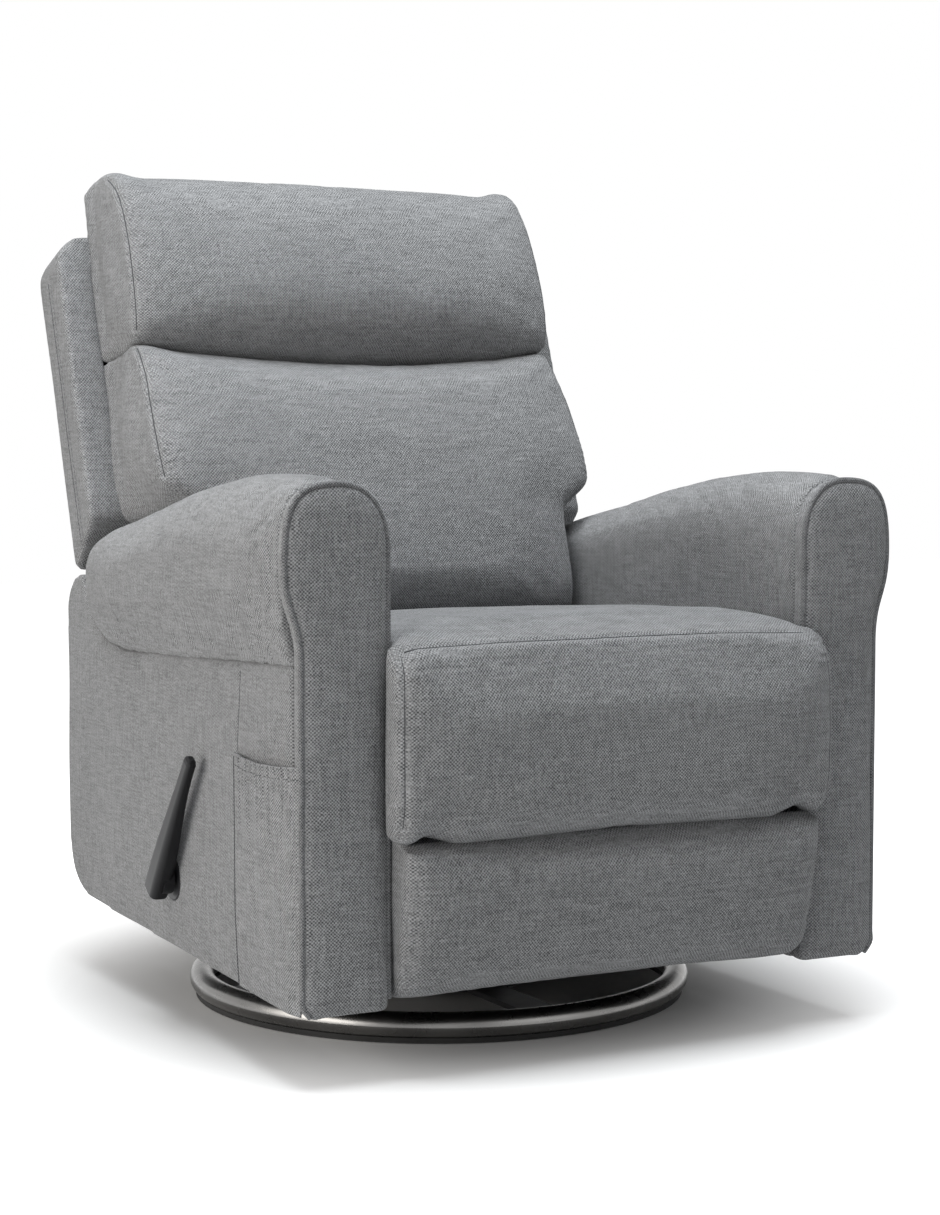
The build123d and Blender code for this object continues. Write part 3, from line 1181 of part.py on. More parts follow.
# Place along each length; shares of the half width, of the cushion edge and of the crown
LOWER_STATIONS = (
    (0.0, 1.0, 0.81, 0.74),
    (0.23, 1.0, 0.93, 0.91),
    (0.66, 1.0, 0.98, 0.99),
    (1.0, 1.0, 1.0, 1.0),
)
EAR_STATIONS = (
    (0.0, 1.0, 1.0, 1.0),
    (0.31, 1.0, 1.01, 1.01),
    (0.64, 0.975, 1.02, 0.98),
    (0.89, 0.97, 0.98, 0.895),
    (1.0, 0.96, 0.84, 0.74),
)
HEAD_STATIONS = (
    (0.0, 0.987, 0.86, 0.75),
    (0.095, 0.997, 1.05, 0.975),
    (0.42, 0.987, 1.07, 1.05),
    (0.775, 0.974, 1.0, 0.975),
    (0.93, 0.954, 0.825, 0.776),
    (1.0, 0.914, 0.526, 0.513),
)


def cushion_sections(start, length, half, stations):
    return [
        back_section(start + place * length, half * side, CUSHION_EDGE * edge, CUSHION_CROWN * crown)
        for place, side, edge, crown in stations
    ]


with BuildPart() as lumbar_cushion:
    loft(cushion_sections(LUMBAR_BOTTOM, LOWER_LENGTH, LOWER_HALF, LOWER_STATIONS))
    loft(cushion_sections(LUMBAR_EAR, EAR_LENGTH, EAR_HALF, EAR_STATIONS))
save(lumbar_cushion.part, "lumbar_cushion")

with BuildPart() as head_cushion:
    loft(cushion_sections(HEAD_BOTTOM, HEAD_LENGTH, CUSHION_HALF_WIDTH, HEAD_STATIONS))
save(head_cushion.part, "head_cushion")
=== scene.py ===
import json
import math

import bpy
import numpy as np
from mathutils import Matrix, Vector
from mathutils.bvhtree import BVHTree
from mathutils.kdtree import KDTree


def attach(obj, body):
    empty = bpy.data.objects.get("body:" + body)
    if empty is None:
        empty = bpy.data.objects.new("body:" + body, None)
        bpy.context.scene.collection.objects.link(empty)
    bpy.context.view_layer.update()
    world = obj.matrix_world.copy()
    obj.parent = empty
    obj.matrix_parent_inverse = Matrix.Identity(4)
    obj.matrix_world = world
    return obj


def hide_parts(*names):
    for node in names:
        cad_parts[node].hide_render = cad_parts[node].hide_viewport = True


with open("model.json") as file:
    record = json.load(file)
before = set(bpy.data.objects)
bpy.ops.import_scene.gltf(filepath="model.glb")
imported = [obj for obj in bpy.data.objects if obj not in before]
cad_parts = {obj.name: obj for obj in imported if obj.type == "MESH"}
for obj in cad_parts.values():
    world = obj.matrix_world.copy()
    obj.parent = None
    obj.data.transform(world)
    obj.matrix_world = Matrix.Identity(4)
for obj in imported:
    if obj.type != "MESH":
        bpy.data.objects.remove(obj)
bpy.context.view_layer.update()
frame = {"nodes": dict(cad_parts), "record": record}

# Lengths are millimetres until a mesh is made.  The chair faces -Y; -X is the sitter's right.
MM = 0.001
SIDES = ((-1, "right"), (1, "left"))
CLOTH_SLOT = "fabric_grey"
ARM_INNER = 262.0
ARM_SIDE = 362.0
ARM_BOTTOM = 76.0
ARM_FOOT_RISE = 24.0
ARM_REAR = 338.0
PANEL_REAR = -374.0
PANEL_TOP = 629.0
ROLL_OVERHANG = 18.0
SEAM_FRONT = 442.0
SEAM_TURN_Y = 140.0
SEAM_TURN = 421.0
BACK_PIVOT = (180.0, 300.0)
BACK_TILT = math.radians(20.0)
FOOT_TOP = (-392.0, 243.0)
FOOT_TILT = math.radians(12.45)


def back_point(x, u, n):
    """A point of the back: u runs up it from the pivot, n forwards from the pivot plane."""
    y = BACK_PIVOT[0] + u * math.sin(BACK_TILT) - n * math.cos(BACK_TILT)
    z = BACK_PIVOT[1] + u * math.cos(BACK_TILT) + n * math.sin(BACK_TILT)
    return (x, y, z)


def foot_point(x, u, n):
    """A point of the footrest: u runs up it from its upper edge, n forwards from its board."""
    y = FOOT_TOP[0] - u * math.sin(FOOT_TILT) - n * math.cos(FOOT_TILT)
    z = FOOT_TOP[1] + u * math.cos(FOOT_TILT) - n * math.sin(FOOT_TILT)
    return (x, y, z)


# Lines and values along them

SPAN_STEPS = 12
RIPPLE_WAVES = 9
RIPPLE_PITCHES = (0.6, 1.5)


def distances(path):
    """How far along the path each of its points is."""
    return np.r_[0, np.cumsum(np.linalg.norm(np.diff(path, axis=0), axis=1))]


def points_at(path, along, marks):
    """The path's points at the marked distances."""
    return np.stack([np.interp(marks, along, path[:, i]) for i in range(path.shape[1])], axis=1)


def smooth_path(points, count, closed=False):
    """A rounded line through the points, cut into equal steps."""
    points = np.array(points, float)
    if closed:
        points = np.vstack([points[-1:], points, points[:2]])
    else:
        points = np.vstack([2 * points[0] - points[1], points, 2 * points[-1] - points[-2]])
    fine = []
    for a, b, c, d in zip(points, points[1:], points[2:], points[3:]):
        for t in np.linspace(0, 1, SPAN_STEPS, endpoint=False):
            fine.append(0.5 * (2 * b + (c - a) * t + (2 * a - 5 * b + 4 * c - d) * t**2
                               + (3 * b - a - 3 * c + d) * t**3))
    fine.append(points[1] if closed else points[-2])
    fine = np.array(fine)
    along = distances(fine)
    return points_at(fine, along, np.linspace(0, along[-1], count, endpoint=not closed))


def bezier(a, b, c, d, count):
    """Points of the curve that leaves a toward b and reaches d from c."""
    t = np.linspace(0, 1, count)[:, None]
    a, b, c, d = (np.array(p, float) for p in (a, b, c, d))
    return (1 - t) ** 3 * a + 3 * (1 - t) ** 2 * t * b + 3 * (1 - t) * t**2 * c + t**3 * d


def evened(rows, turns):
    """The rows, each but the first and last drawn toward its neighbours."""
    for _ in range(turns):
        rows[1:-1] = 0.25 * rows[:-2] + 0.5 * rows[1:-1] + 0.25 * rows[2:]
    return rows


def table_value(stations, place, column):
    """A column of a table of stations, read at a place between them."""
    return np.interp(place, stations[:, 0], stations[:, column])


def share(values, start, run):
    """0 up to start, 1 after a run beyond it, straight between them."""
    return np.clip((values - start) / run, 0, 1)


def ramp_up(values, start, end):
    """0 before start, 1 after end, eased between them."""
    t = np.clip((np.asarray(values, float) - start) / (end - start), 0, 1)
    return t * t * (3 - 2 * t)


def ripple(points, size, seed):
    """Smooth uneven values from about -1 to 1 over space, with features about as large as size."""
    rng = np.random.default_rng(seed)
    total = np.zeros(len(points))
    for _ in range(RIPPLE_WAVES):
        direction = rng.normal(size=3)
        direction *= rng.uniform(*RIPPLE_PITCHES) / np.linalg.norm(direction)
        total += np.sin(points @ direction * 2 * math.pi / size + rng.uniform(0, 2 * math.pi))
    return total / (RIPPLE_WAVES / 2)


# Meshes

# A direction that no strand follows, from which its first side is worked out
ASLANT = (0.31, 0.22, 0.92)
# Places along a stitch, and its thickness there against its full radius
STITCH_FORM = ((0.0, 0.35), (0.2, 1.0), (0.5, 1.0), (0.8, 1.0), (1.0, 0.35))
STITCH_SIDES = 6
WELD_GAP = 0.02
RELAX_SHARE = 0.5
COVER_FRAMES = 12
LEAST_HOLD = 0.01
SEAM_STEP = 1.5
GATHER_REACH = 4.0
EASE_TURNS = (6, 2)
CUSHION_VOXEL = 5.5
PANEL_VOXEL = 5.0
SHELL_VOXEL = 6.0
FRONT_VOXEL = 4.0


def piece(name, verts, faces):
    mesh = bpy.data.meshes.new(name)
    mesh.from_pydata([tuple(v) for v in np.array(verts, float) * MM], [], faces)
    mesh.validate()
    obj = bpy.data.objects.new(name, mesh)
    bpy.context.scene.collection.objects.link(obj)
    return obj


def skin(rows, count, base=0):
    """Faces of a closed skin over rows of count points each, with both ends capped."""
    faces = []
    for i in range(rows - 1):
        a, b = base + i * count, base + (i + 1) * count
        for j in range(count):
            k = (j + 1) % count
            faces.append((a + j, a + k, b + k, b + j))
    last = base + (rows - 1) * count
    faces.append(tuple(range(base, base + count))[::-1])
    faces.append(tuple(range(last, last + count)))
    return faces


def loft(name, rings):
    """A closed skin through rings of equally many points."""
    rings = [np.array(r, float) for r in rings]
    return piece(name, np.vstack(rings), skin(len(rings), len(rings[0])))


def tube(name, path, radius, sides):
    """A round strand along a path."""
    path = np.array(path, float)
    ahead = np.gradient(path, axis=0)
    ahead /= np.linalg.norm(ahead, axis=1)[:, None]
    side = np.cross(ahead[0], ASLANT)
    turns = np.linspace(0, 2 * math.pi, sides, endpoint=False)
    rings = []
    for place, direction in zip(path, ahead):
        side = side - direction * (side @ direction)
        side /= np.linalg.norm(side)
        up = np.cross(direction, side)
        rings.append(place + radius * (np.cos(turns)[:, None] * side + np.sin(turns)[:, None] * up))
    obj = loft(name, rings)
    shade(obj)
    return obj


def shade(obj):
    obj.data.polygons.foreach_set("use_smooth", [True] * len(obj.data.polygons))
    obj.data.update()


def settle(obj):
    """Puts what the modifiers make of the mesh in its place."""
    bpy.context.view_layer.update()
    made = bpy.data.meshes.new_from_object(obj.evaluated_get(bpy.context.evaluated_depsgraph_get()))
    obj.modifiers.clear()
    obj.data = made
    shade(obj)


def remesh(obj, size):
    modifier = obj.modifiers.new("Even", "REMESH")
    modifier.mode = "VOXEL"
    modifier.voxel_size = size * MM
    settle(obj)


def relax(obj, turns):
    modifier = obj.modifiers.new("Relax", "SMOOTH")
    modifier.factor = RELAX_SHARE
    modifier.iterations = turns
    settle(obj)


def refine(obj):
    modifier = obj.modifiers.new("Refine", "SUBSURF")
    modifier.levels = 1
    modifier.render_levels = 1
    settle(obj)


def vertex_rows(mesh, field):
    rows = np.zeros(len(mesh.vertices) * 3)
    mesh.vertices.foreach_get(field, rows)
    return rows.reshape(-1, 3)


def places(obj):
    return vertex_rows(obj.data, "co") / MM


def normals(obj):
    return vertex_rows(obj.data, "normal")


def move(obj, co):
    obj.data.vertices.foreach_set("co", (co * MM).ravel())
    obj.data.update()


def plump(obj, held, pressure, reach, slack):
    """Fills the cover from inside: held gives each point's hold, 0 free to 1 fixed."""
    start = places(obj)
    group = obj.vertex_groups.new(name="held")
    for i, weight in enumerate(held(start)):
        if weight > LEAST_HOLD:
            group.add([i], float(weight), "REPLACE")
    cloth = obj.modifiers.new("Cover", "CLOTH")
    cloth.settings.vertex_group_mass = "held"
    cloth.settings.quality = 5
    cloth.settings.mass = 0.3
    cloth.settings.tension_stiffness = 12
    cloth.settings.compression_stiffness = 8
    cloth.settings.shear_stiffness = 6
    cloth.settings.bending_stiffness = 0.6
    cloth.settings.shrink_min = -slack
    cloth.settings.use_pressure = True
    cloth.settings.uniform_pressure_force = pressure
    cloth.settings.effector_weights.gravity = 0
    cloth.collision_settings.use_self_collision = False
    cloth.point_cache.frame_start = 1
    cloth.point_cache.frame_end = COVER_FRAMES
    scene = bpy.context.scene
    for step in range(1, COVER_FRAMES + 1):
        scene.frame_set(step)
    shaped = obj.evaluated_get(bpy.context.evaluated_depsgraph_get())
    shift = vertex_rows(shaped.data, "co") / MM - start
    scene.frame_set(1)
    obj.modifiers.clear()
    obj.vertex_groups.clear()
    length = np.linalg.norm(shift, axis=1)
    shift *= np.minimum(1.0, reach / np.maximum(length, 1e-6))[:, None]
    move(obj, start + shift)


def press(obj, path, depth, width, gather=0.0, pitch=18.0):
    """Draws the cover in along a seam, with small gathers square to it."""
    length = np.linalg.norm(np.diff(path, axis=0), axis=1).sum()
    path = smooth_path(path, int(length / SEAM_STEP) + 4)
    tree = KDTree(len(path))
    for i, p in enumerate(path):
        tree.insert(Vector(p), i)
    tree.balance()
    co = places(obj)
    found = [tree.find(Vector(p)) for p in co]
    away = np.array([f[2] for f in found])
    along = SEAM_STEP * np.array([f[1] for f in found])
    close = np.exp(-((away / width) ** 2))
    sink = depth * close
    if gather:
        beside = np.exp(-((away / (GATHER_REACH * width)) ** 2)) - close
        wave = np.sin(2 * math.pi * along / pitch + 2.2 * ripple(co, size=110, seed=7))
        sink += gather * beside * wave * (0.6 + 0.4 * ripple(co, size=80, seed=8))
    move(obj, co - normals(obj) * sink[:, None])
    shade(obj)


def uneven(obj, amount, size, seed):
    """Slow swells of a stuffed cover."""
    co = places(obj)
    move(obj, co + normals(obj) * (amount * ripple(co, size, seed))[:, None])
    shade(obj)


def lay(obj, path, lift=0.0):
    """The path brought onto the cover, evened out, lifted off it by a little."""
    tree = BVHTree.FromObject(obj, bpy.context.evaluated_depsgraph_get())
    path = np.array(path, float)
    for turns in EASE_TURNS:
        laid = []
        for p in path:
            spot, out, _, _ = tree.find_nearest(Vector(p) * MM)
            laid.append(np.array(spot) / MM + np.array(out) * lift)
        path = evened(np.array(laid), turns)
    return path


def stitch_row(name, path, length, gap, radius):
    """Separate stitches along a path, as one mesh."""
    path = np.array(path, float)
    along = distances(path)
    marks, shares = np.array(STITCH_FORM).T
    turns = np.linspace(0, 2 * math.pi, STITCH_SIDES, endpoint=False)
    verts = []
    faces = []
    start = 0.0
    while start + length < along[-1]:
        middle = points_at(path, along, start + length * marks)
        ahead = middle[-1] - middle[0]
        ahead /= np.linalg.norm(ahead)
        side = np.cross(ahead, ASLANT)
        side /= np.linalg.norm(side)
        up = np.cross(ahead, side)
        faces += skin(len(STITCH_FORM), STITCH_SIDES, len(verts))
        for spot, thickness in zip(middle, shares):
            for turn in turns:
                verts.append(spot + thickness * radius * (math.cos(turn) * side + math.sin(turn) * up))
        start += length + gap
    obj = piece(name, verts, faces)
    shade(obj)
    return obj


def from_cad(name, *nodes):
    """One mesh holding copies of CAD nodes, to be covered in cloth."""
    verts = []
    faces = []
    for node in nodes:
        mesh = frame["nodes"][node].data
        base = len(verts)
        verts.extend(np.array(v.co) / MM for v in mesh.vertices)
        faces.extend(tuple(base + i for i in p.vertices) for p in mesh.polygons)
    obj = piece(name, verts, faces)
    weld = obj.modifiers.new("Weld", "WELD")
    weld.merge_threshold = WELD_GAP * MM
    settle(obj)
    return obj


# Materials


class Finish:
    """A node material under construction."""

    def __init__(self, name):
        self.material = bpy.data.materials.new(name)
        self.material.use_nodes = True
        self.tree = self.material.node_tree
        self.shader = self.tree.nodes["Principled BSDF"]

    def add(self, kind, operation=None):
        node = self.tree.nodes.new(kind)
        if operation:
            node.operation = operation
        return node

    def link(self, source, target):
        self.tree.links.new(source, target)

    def surface(self, values):
        """Plain values for the shader's own sockets."""
        for name, value in values.items():
            self.shader.inputs[name].default_value = value

    def worked_out(self, kind, operation, *values):
        """Outputs of a math node; each value is a socket to link or a plain value."""
        node = self.add(kind, operation)
        for socket, value in zip(node.inputs, values):
            if isinstance(value, bpy.types.NodeSocket):
                self.link(value, socket)
            else:
                socket.default_value = value
        return node.outputs

    def math(self, operation, a, b):
        return self.worked_out("ShaderNodeMath", operation, a, b)["Value"]

    def vector(self, operation, *values):
        return self.worked_out("ShaderNodeVectorMath", operation, *values)["Vector"]

    def noise(self, scale, detail, stretch=(1, 1, 1)):
        place = self.add("ShaderNodeTexCoord")
        spread = self.add("ShaderNodeMapping")
        spread.inputs["Scale"].default_value = stretch
        self.link(place.outputs["Object"], spread.inputs["Vector"])
        texture = self.add("ShaderNodeTexNoise")
        texture.inputs["Scale"].default_value = scale
        texture.inputs["Detail"].default_value = detail
        self.link(spread.outputs[0], texture.inputs["Vector"])
        return texture.outputs["Fac"]

    def ramp(self, value, stops):
        ramp = self.add("ShaderNodeValToRGB")
        for element, (position, colour) in zip(ramp.color_ramp.elements, stops):
            element.position = position
            element.color = (*colour, 1)
        self.link(value, ramp.inputs["Fac"])
        return ramp.outputs["Color"]

    def bump(self, height, strength, distance, under=None):
        node = self.add("ShaderNodeBump")
        node.inputs["Strength"].default_value = strength
        node.inputs["Distance"].default_value = distance
        self.link(height, node.inputs["Height"])
        if under is not None:
            self.link(under, node.inputs["Normal"])
        return node.outputs["Normal"]


# Shares of the yarns in the tone of woven cloth, and the level taken off their sum
WEAVE_SHARE, YARN_SHARE, STREAK_SHARE, BROAD_SHARE = 0.52, 1.1, 0.42, 0.14
TONE_LEVEL = 0.54
# How far, in metres, threads wander from straight
THREAD_WANDER = 0.0035


def woven(name, dark, light, thread=3.7):
    """Plain-woven cloth of heathered yarn; thread is the width of one repeat."""
    f = Finish(name)
    place = f.add("ShaderNodeTexCoord").outputs
    wander = f.add("ShaderNodeTexNoise")
    wander.inputs["Scale"].default_value = 45
    wander.inputs["Detail"].default_value = 1
    f.link(place["Object"], wander.inputs["Vector"])
    drift = f.vector("MULTIPLY_ADD", wander.outputs["Color"], (THREAD_WANDER,) * 3, place["Object"])
    turn = 2 * math.pi / (thread * MM)
    split = f.add("ShaderNodeSeparateXYZ")
    f.link(f.vector("SINE", f.vector("MULTIPLY", drift, (turn,) * 3)), split.inputs[0])
    warp = f.add("ShaderNodeCombineXYZ")
    weft = f.add("ShaderNodeCombineXYZ")
    for axis, (a, b) in enumerate(((1, 2), (0, 2), (0, 1))):
        f.link(split.outputs[a], warp.inputs[axis])
        f.link(split.outputs[b], weft.inputs[axis])
    crossing = f.vector("MULTIPLY", warp.outputs[0], weft.outputs[0])
    facing = f.vector("MULTIPLY", place["Normal"], place["Normal"])
    weave = f.worked_out("ShaderNodeVectorMath", "DOT_PRODUCT", crossing, facing)["Value"]
    yarn = f.noise(scale=520, detail=2.0)
    upright = f.noise(scale=330, detail=1.0, stretch=(1, 1, 0.10))
    level = f.noise(scale=330, detail=1.0, stretch=(0.10, 0.10, 1))
    broad = f.noise(scale=7, detail=2.0)
    tone = f.math("MULTIPLY", weave, WEAVE_SHARE)
    for value, weight in (
        (yarn, YARN_SHARE), (upright, STREAK_SHARE), (level, STREAK_SHARE), (broad, BROAD_SHARE),
    ):
        tone = f.math("ADD", tone, f.math("MULTIPLY", value, weight))
    tone = f.math("SUBTRACT", tone, TONE_LEVEL)
    f.link(f.ramp(tone, ((0.0, dark), (1.0, light))), f.shader.inputs["Base Color"])
    threads = f.bump(weave, strength=0.7, distance=0.0007)
    f.link(f.bump(yarn, strength=0.5, distance=0.0008, under=threads), f.shader.inputs["Normal"])
    f.surface({
        "Roughness": 0.92, "Specular IOR Level": 0.2, "Sheen Weight": 0.10, "Sheen Roughness": 0.45,
    })
    return f.material


def coated(name, dark, light, roughness, spread, metallic=0.0, grain=420, relief=0.08, shine=0.4):
    """A hard surface with slight changes of tone, gloss and texture."""
    f = Finish(name)
    patches = f.noise(scale=9, detail=3.0)
    f.link(f.ramp(patches, ((0.3, dark), (0.7, light))), f.shader.inputs["Base Color"])
    gloss = f.math("MULTIPLY", f.noise(scale=30, detail=4.0), spread)
    f.link(f.math("ADD", gloss, roughness), f.shader.inputs["Roughness"])
    texture = f.noise(scale=grain, detail=2.0)
    f.link(f.bump(texture, strength=relief, distance=0.0004), f.shader.inputs["Normal"])
    f.surface({"Metallic": metallic, "Specular IOR Level": shine})
    return f.material


def wood(name, dark, light):
    """Wood with its grain along Y, in the dark and light tones given."""
    f = Finish(name)
    grain = f.noise(scale=26, detail=6.0, stretch=(1, 0.08, 1))
    f.link(f.ramp(grain, ((0.3, dark), (0.7, light))), f.shader.inputs["Base Color"])
    f.link(f.bump(grain, strength=0.25, distance=0.0008), f.shader.inputs["Normal"])
    f.surface({"Roughness": 0.7})
    return f.material


FABRIC = woven("grey_weave", (0.046, 0.047, 0.049), (0.366, 0.371, 0.379))
WELT = woven("welt_weave", (0.040, 0.041, 0.043), (0.285, 0.289, 0.296), thread=3.2)
# Seam thread: its near-black tone is painted shade for the dark line along each seam, over the thread
# itself.
SEAM_THREAD_AND_SHADE = coated("seam_thread_and_painted_shade", (0.030, 0.031, 0.034), (0.055, 0.057, 0.062), 0.75, 0.15, grain=900)
TOPSTITCH = coated("top_stitch", (0.10, 0.104, 0.11), (0.20, 0.206, 0.215), 0.7, 0.15, grain=900)
FINISHES = {
    CLOTH_SLOT: FABRIC,
    "ring_metal": coated(
        "gunmetal_gloss", (0.15, 0.147, 0.143), (0.25, 0.245, 0.238), 0.2, 0.16, metallic=1.0, relief=0.04
    ),
    "black_steel": coated("satin_black_steel", (0.012, 0.012, 0.013), (0.028, 0.028, 0.030), 0.38, 0.2),
    "bolt_steel": coated("zinc_plate", (0.38, 0.38, 0.39), (0.58, 0.58, 0.60), 0.28, 0.2, metallic=1.0),
    "bearing_plastic": coated("natural_nylon", (0.58, 0.57, 0.53), (0.74, 0.73, 0.69), 0.4, 0.2),
    # The frame wood is made dark as painted shade for the gaps between seat and arms where it shows.
    "frame_wood": wood("hardwood_painted_dark", (0.045, 0.031, 0.021), (0.095, 0.068, 0.047)),
    "webbing": woven("elastic_strap", (0.015, 0.015, 0.016), (0.055, 0.055, 0.058), thread=2.0),
    "black_plastic": coated(
        "satin_black_plastic", (0.006, 0.006, 0.007), (0.012, 0.012, 0.013), 0.36, 0.12, grain=1400,
        relief=0.1, shine=0.22,
    ),
    "rubber": coated("matte_rubber", (0.016, 0.016, 0.016), (0.030, 0.030, 0.030), 0.8, 0.15),
}
SEAM_RADIUS = 0.75
SEAM_LIFT = -0.15


def dress(obj, material, body):
    """Gives a cloth piece its material and the body that carries it."""
    obj.data.materials.clear()
    obj.data.materials.append(material)
    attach(obj, body)
    return obj


def seam(name, cover, path, body, radius=SEAM_RADIUS):
    """A sewn seam's thread lying in the cover, made near black as the painted shade of the seam's crease."""
    return dress(tube(name, lay(cover, path, SEAM_LIFT), radius, sides=6), SEAM_THREAD_AND_SHADE, body)


for node_name, node in frame["nodes"].items():
    slot_name = next(
        s["material_slot"] for s in frame["record"]["subparts"] if s["node"] == node_name
    )
    node.data.materials.clear()
    node.data.materials.append(FINISHES[slot_name])


# Back cushions

CUSHION_REAR = 12.0
CROWN_POWER = 2.6
EDGE_DROP, EDGE_WIDTH = 8.0, 0.03
SIDE_BULGE = 2.0
# The rear spreads where the half width is beyond FLARE_FROM, and fills the room before the shell
REAR_FLARE, FLARE_FROM, FLARE_RUN = 16.0, 272.0, 24.0
SPAN_RINGS = 5
# The head cushion's upper corners stand up as ears
EAR_LIFT, EAR_PLACE, EAR_WIDTH = 10.0, 288.0, 24.0
EAR_START, EAR_END = 650.0, 725.0
# What a cushion is held by while it fills: the rear, and the sewn corners of its front
REAR_HELD, REAR_HELD_RUN = 46.0, 20.0
CORNER_HOLD, CORNER_WIDTH, CORNER_DEPTH = 0.85, 9.0, 26.0


def cushion_ring(u, half, edge, crown, rear, sag):
    """One section across a back cushion: flat behind, crowned in front, sides nearly square."""
    x = np.linspace(-1, 1, 33)
    front = edge + (crown - edge) * (1 - np.abs(x) ** CROWN_POWER)
    front -= EDGE_DROP * np.exp(-((1 - np.abs(x)) / EDGE_WIDTH) ** 2)
    side = np.linspace(0, 1, 7)[1:-1]
    ring = [(half * a, n) for a, n in zip(x, front)]
    spread = REAR_FLARE * min(1.0, max(0.0, (half - FLARE_FROM) / FLARE_RUN))
    flare = [SIDE_BULGE * math.sin(math.pi * s) + spread * max(0.0, 2 * s - 1) ** 1.5 for s in side]
    ring += [(half + out, front[-1] + (rear - front[-1]) * s) for out, s in zip(flare, side)]
    ring += [((half + spread) * a, rear) for a in np.linspace(1, -1, 13)]
    ring += [(-half - out, front[0] + (rear - front[0]) * s) for out, s in zip(flare[::-1], side[::-1])]
    return [back_point(a, u + sag * (1 - min(1.0, abs(a) / half) ** 2), n) for a, n in ring]


def along_back(points):
    """Distances up the back and forwards from its pivot plane."""
    y = points[:, 1] - BACK_PIVOT[0]
    z = points[:, 2] - BACK_PIVOT[1]
    up = y * math.sin(BACK_TILT) + z * math.cos(BACK_TILT)
    return up, -y * math.cos(BACK_TILT) + z * math.sin(BACK_TILT)


def back_cushion(name, node, stations, ear):
    """stations: place up the back, half width, edge, crown, rear, sag."""
    stations = np.array(stations, float)
    spans = np.linspace(0, len(stations) - 1, SPAN_RINGS * (len(stations) - 1) + 1)
    rows = np.stack([np.interp(spans, range(len(stations)), column) for column in stations.T], axis=1)
    obj = loft(name, [cushion_ring(*row) for row in evened(rows, 2)])
    remesh(obj, CUSHION_VOXEL)
    relax(obj, 4)
    co = places(obj)
    up, _ = along_back(co)
    corner = np.exp(-((np.abs(co[:, 0]) - EAR_PLACE) / EAR_WIDTH) ** 2)
    lift = ear * corner * ramp_up(up, EAR_START, EAR_END)
    co[:, 1] += lift * math.sin(BACK_TILT)
    co[:, 2] += lift * math.cos(BACK_TILT)
    move(obj, co)

    def held(points):
        up, forward = along_back(points)
        half = table_value(stations, up, 1)
        edge = table_value(stations, up, 2)
        behind = np.clip((REAR_HELD - forward) / REAR_HELD_RUN, 0, 1)
        corner = np.exp(-((np.abs(points[:, 0]) - half) / CORNER_WIDTH) ** 2)
        return np.maximum(behind, CORNER_HOLD * (corner * (forward > edge - CORNER_DEPTH)))

    plump(obj, held, pressure=2.5, reach=6.0, slack=0.003)
    relax(obj, 4)
    refine(obj)
    uneven(obj, amount=0.7, size=150, seed=21)
    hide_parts(node)
    return obj


HEAD_STATIONS = (
    (496, 300, 86, 58, CUSHION_REAR, -22),
    (497, 300, 104, 94, CUSHION_REAR, -22),
    (502, 300, 112, 122, CUSHION_REAR, -20),
    (515, 300, 118, 138, CUSHION_REAR, -15),
    (538, 300, 123, 147, CUSHION_REAR, -8),
    (575, 300, 126, 150, CUSHION_REAR, -3),
    (620, 299, 125, 147, CUSHION_REAR, 0),
    (665, 298, 119, 138, CUSHION_REAR, 2),
    (698, 297, 108, 123, CUSHION_REAR, 3),
    (720, 296, 90, 102, CUSHION_REAR, 4),
    (733, 294, 68, 76, CUSHION_REAR + 8, 4),
    (738, 288, 50, 54, CUSHION_REAR + 18, 4),
)
LUMBAR_STATIONS = (
    (112, 248, 104, 118, CUSHION_REAR, 0),
    (117, 250, 136, 150, CUSHION_REAR, 0),
    (150, 251, 150, 164, CUSHION_REAR, 0),
    (220, 252, 153, 168, CUSHION_REAR, 0),
    (254, 254, 152, 168, CUSHION_REAR, 0),
    (272, 280, 151, 167, CUSHION_REAR, 0),
    (290, 303, 150, 166, CUSHION_REAR, 0),
    (340, 307, 146, 163, CUSHION_REAR, -1),
    (390, 304, 137, 155, CUSHION_REAR, -4),
    (438, 301, 127, 144, CUSHION_REAR, -11),
    (470, 300, 116, 130, CUSHION_REAR, -17),
    (490, 300, 107, 108, CUSHION_REAR, -21),
    (497, 300, 92, 64, CUSHION_REAR, -22),
)
# Where the gusset seams start and end, how far they lie behind the front edge
HEAD_SEAM = (504, 726)
LUMBAR_SEAM = (300, 490)
GUSSET_BEHIND = 4
# The lumbar's seams are gathered over their first points, more so on the lever's side
LUMBAR_GATHERED = 26
LUMBAR_GATHERS = {"right": 1.4, "left": 0.5}


def cushion_edge(side, stations, start, end):
    """The line of a cushion's front edge on one side."""
    stations = np.array(stations, float)
    ups = np.linspace(start, end, 80)
    halves = table_value(stations, ups, 1)
    edges = table_value(stations, ups, 2)
    return [back_point(side * half, u, edge - GUSSET_BEHIND) for u, half, edge in zip(ups, halves, edges)]


head = back_cushion("head_cushion_cover", "head_cushion", HEAD_STATIONS, EAR_LIFT)
lumbar = back_cushion("lumbar_cushion_cover", "lumbar_cushion", LUMBAR_STATIONS, 0)
for cover, label, stations, (start, end) in (
    (head, "head", HEAD_STATIONS, HEAD_SEAM),
    (lumbar, "lumbar", LUMBAR_STATIONS, LUMBAR_SEAM),
):
    for side, word in SIDES:
        path = lay(cover, cushion_edge(side, stations, start, end))
        press(cover, path, depth=2.2, width=4.5, gather=0.3, pitch=21)
        if label == "lumbar":
            press(cover, path[:LUMBAR_GATHERED], depth=0.4, width=5.0, gather=LUMBAR_GATHERS[word], pitch=10)
        seam(f"{label}_gusset_seam_{word}", cover, lay(cover, path), "back")
    dress(cover, FABRIC, "back")

# Seat: one cushion with a rounded front border that spreads before the arms

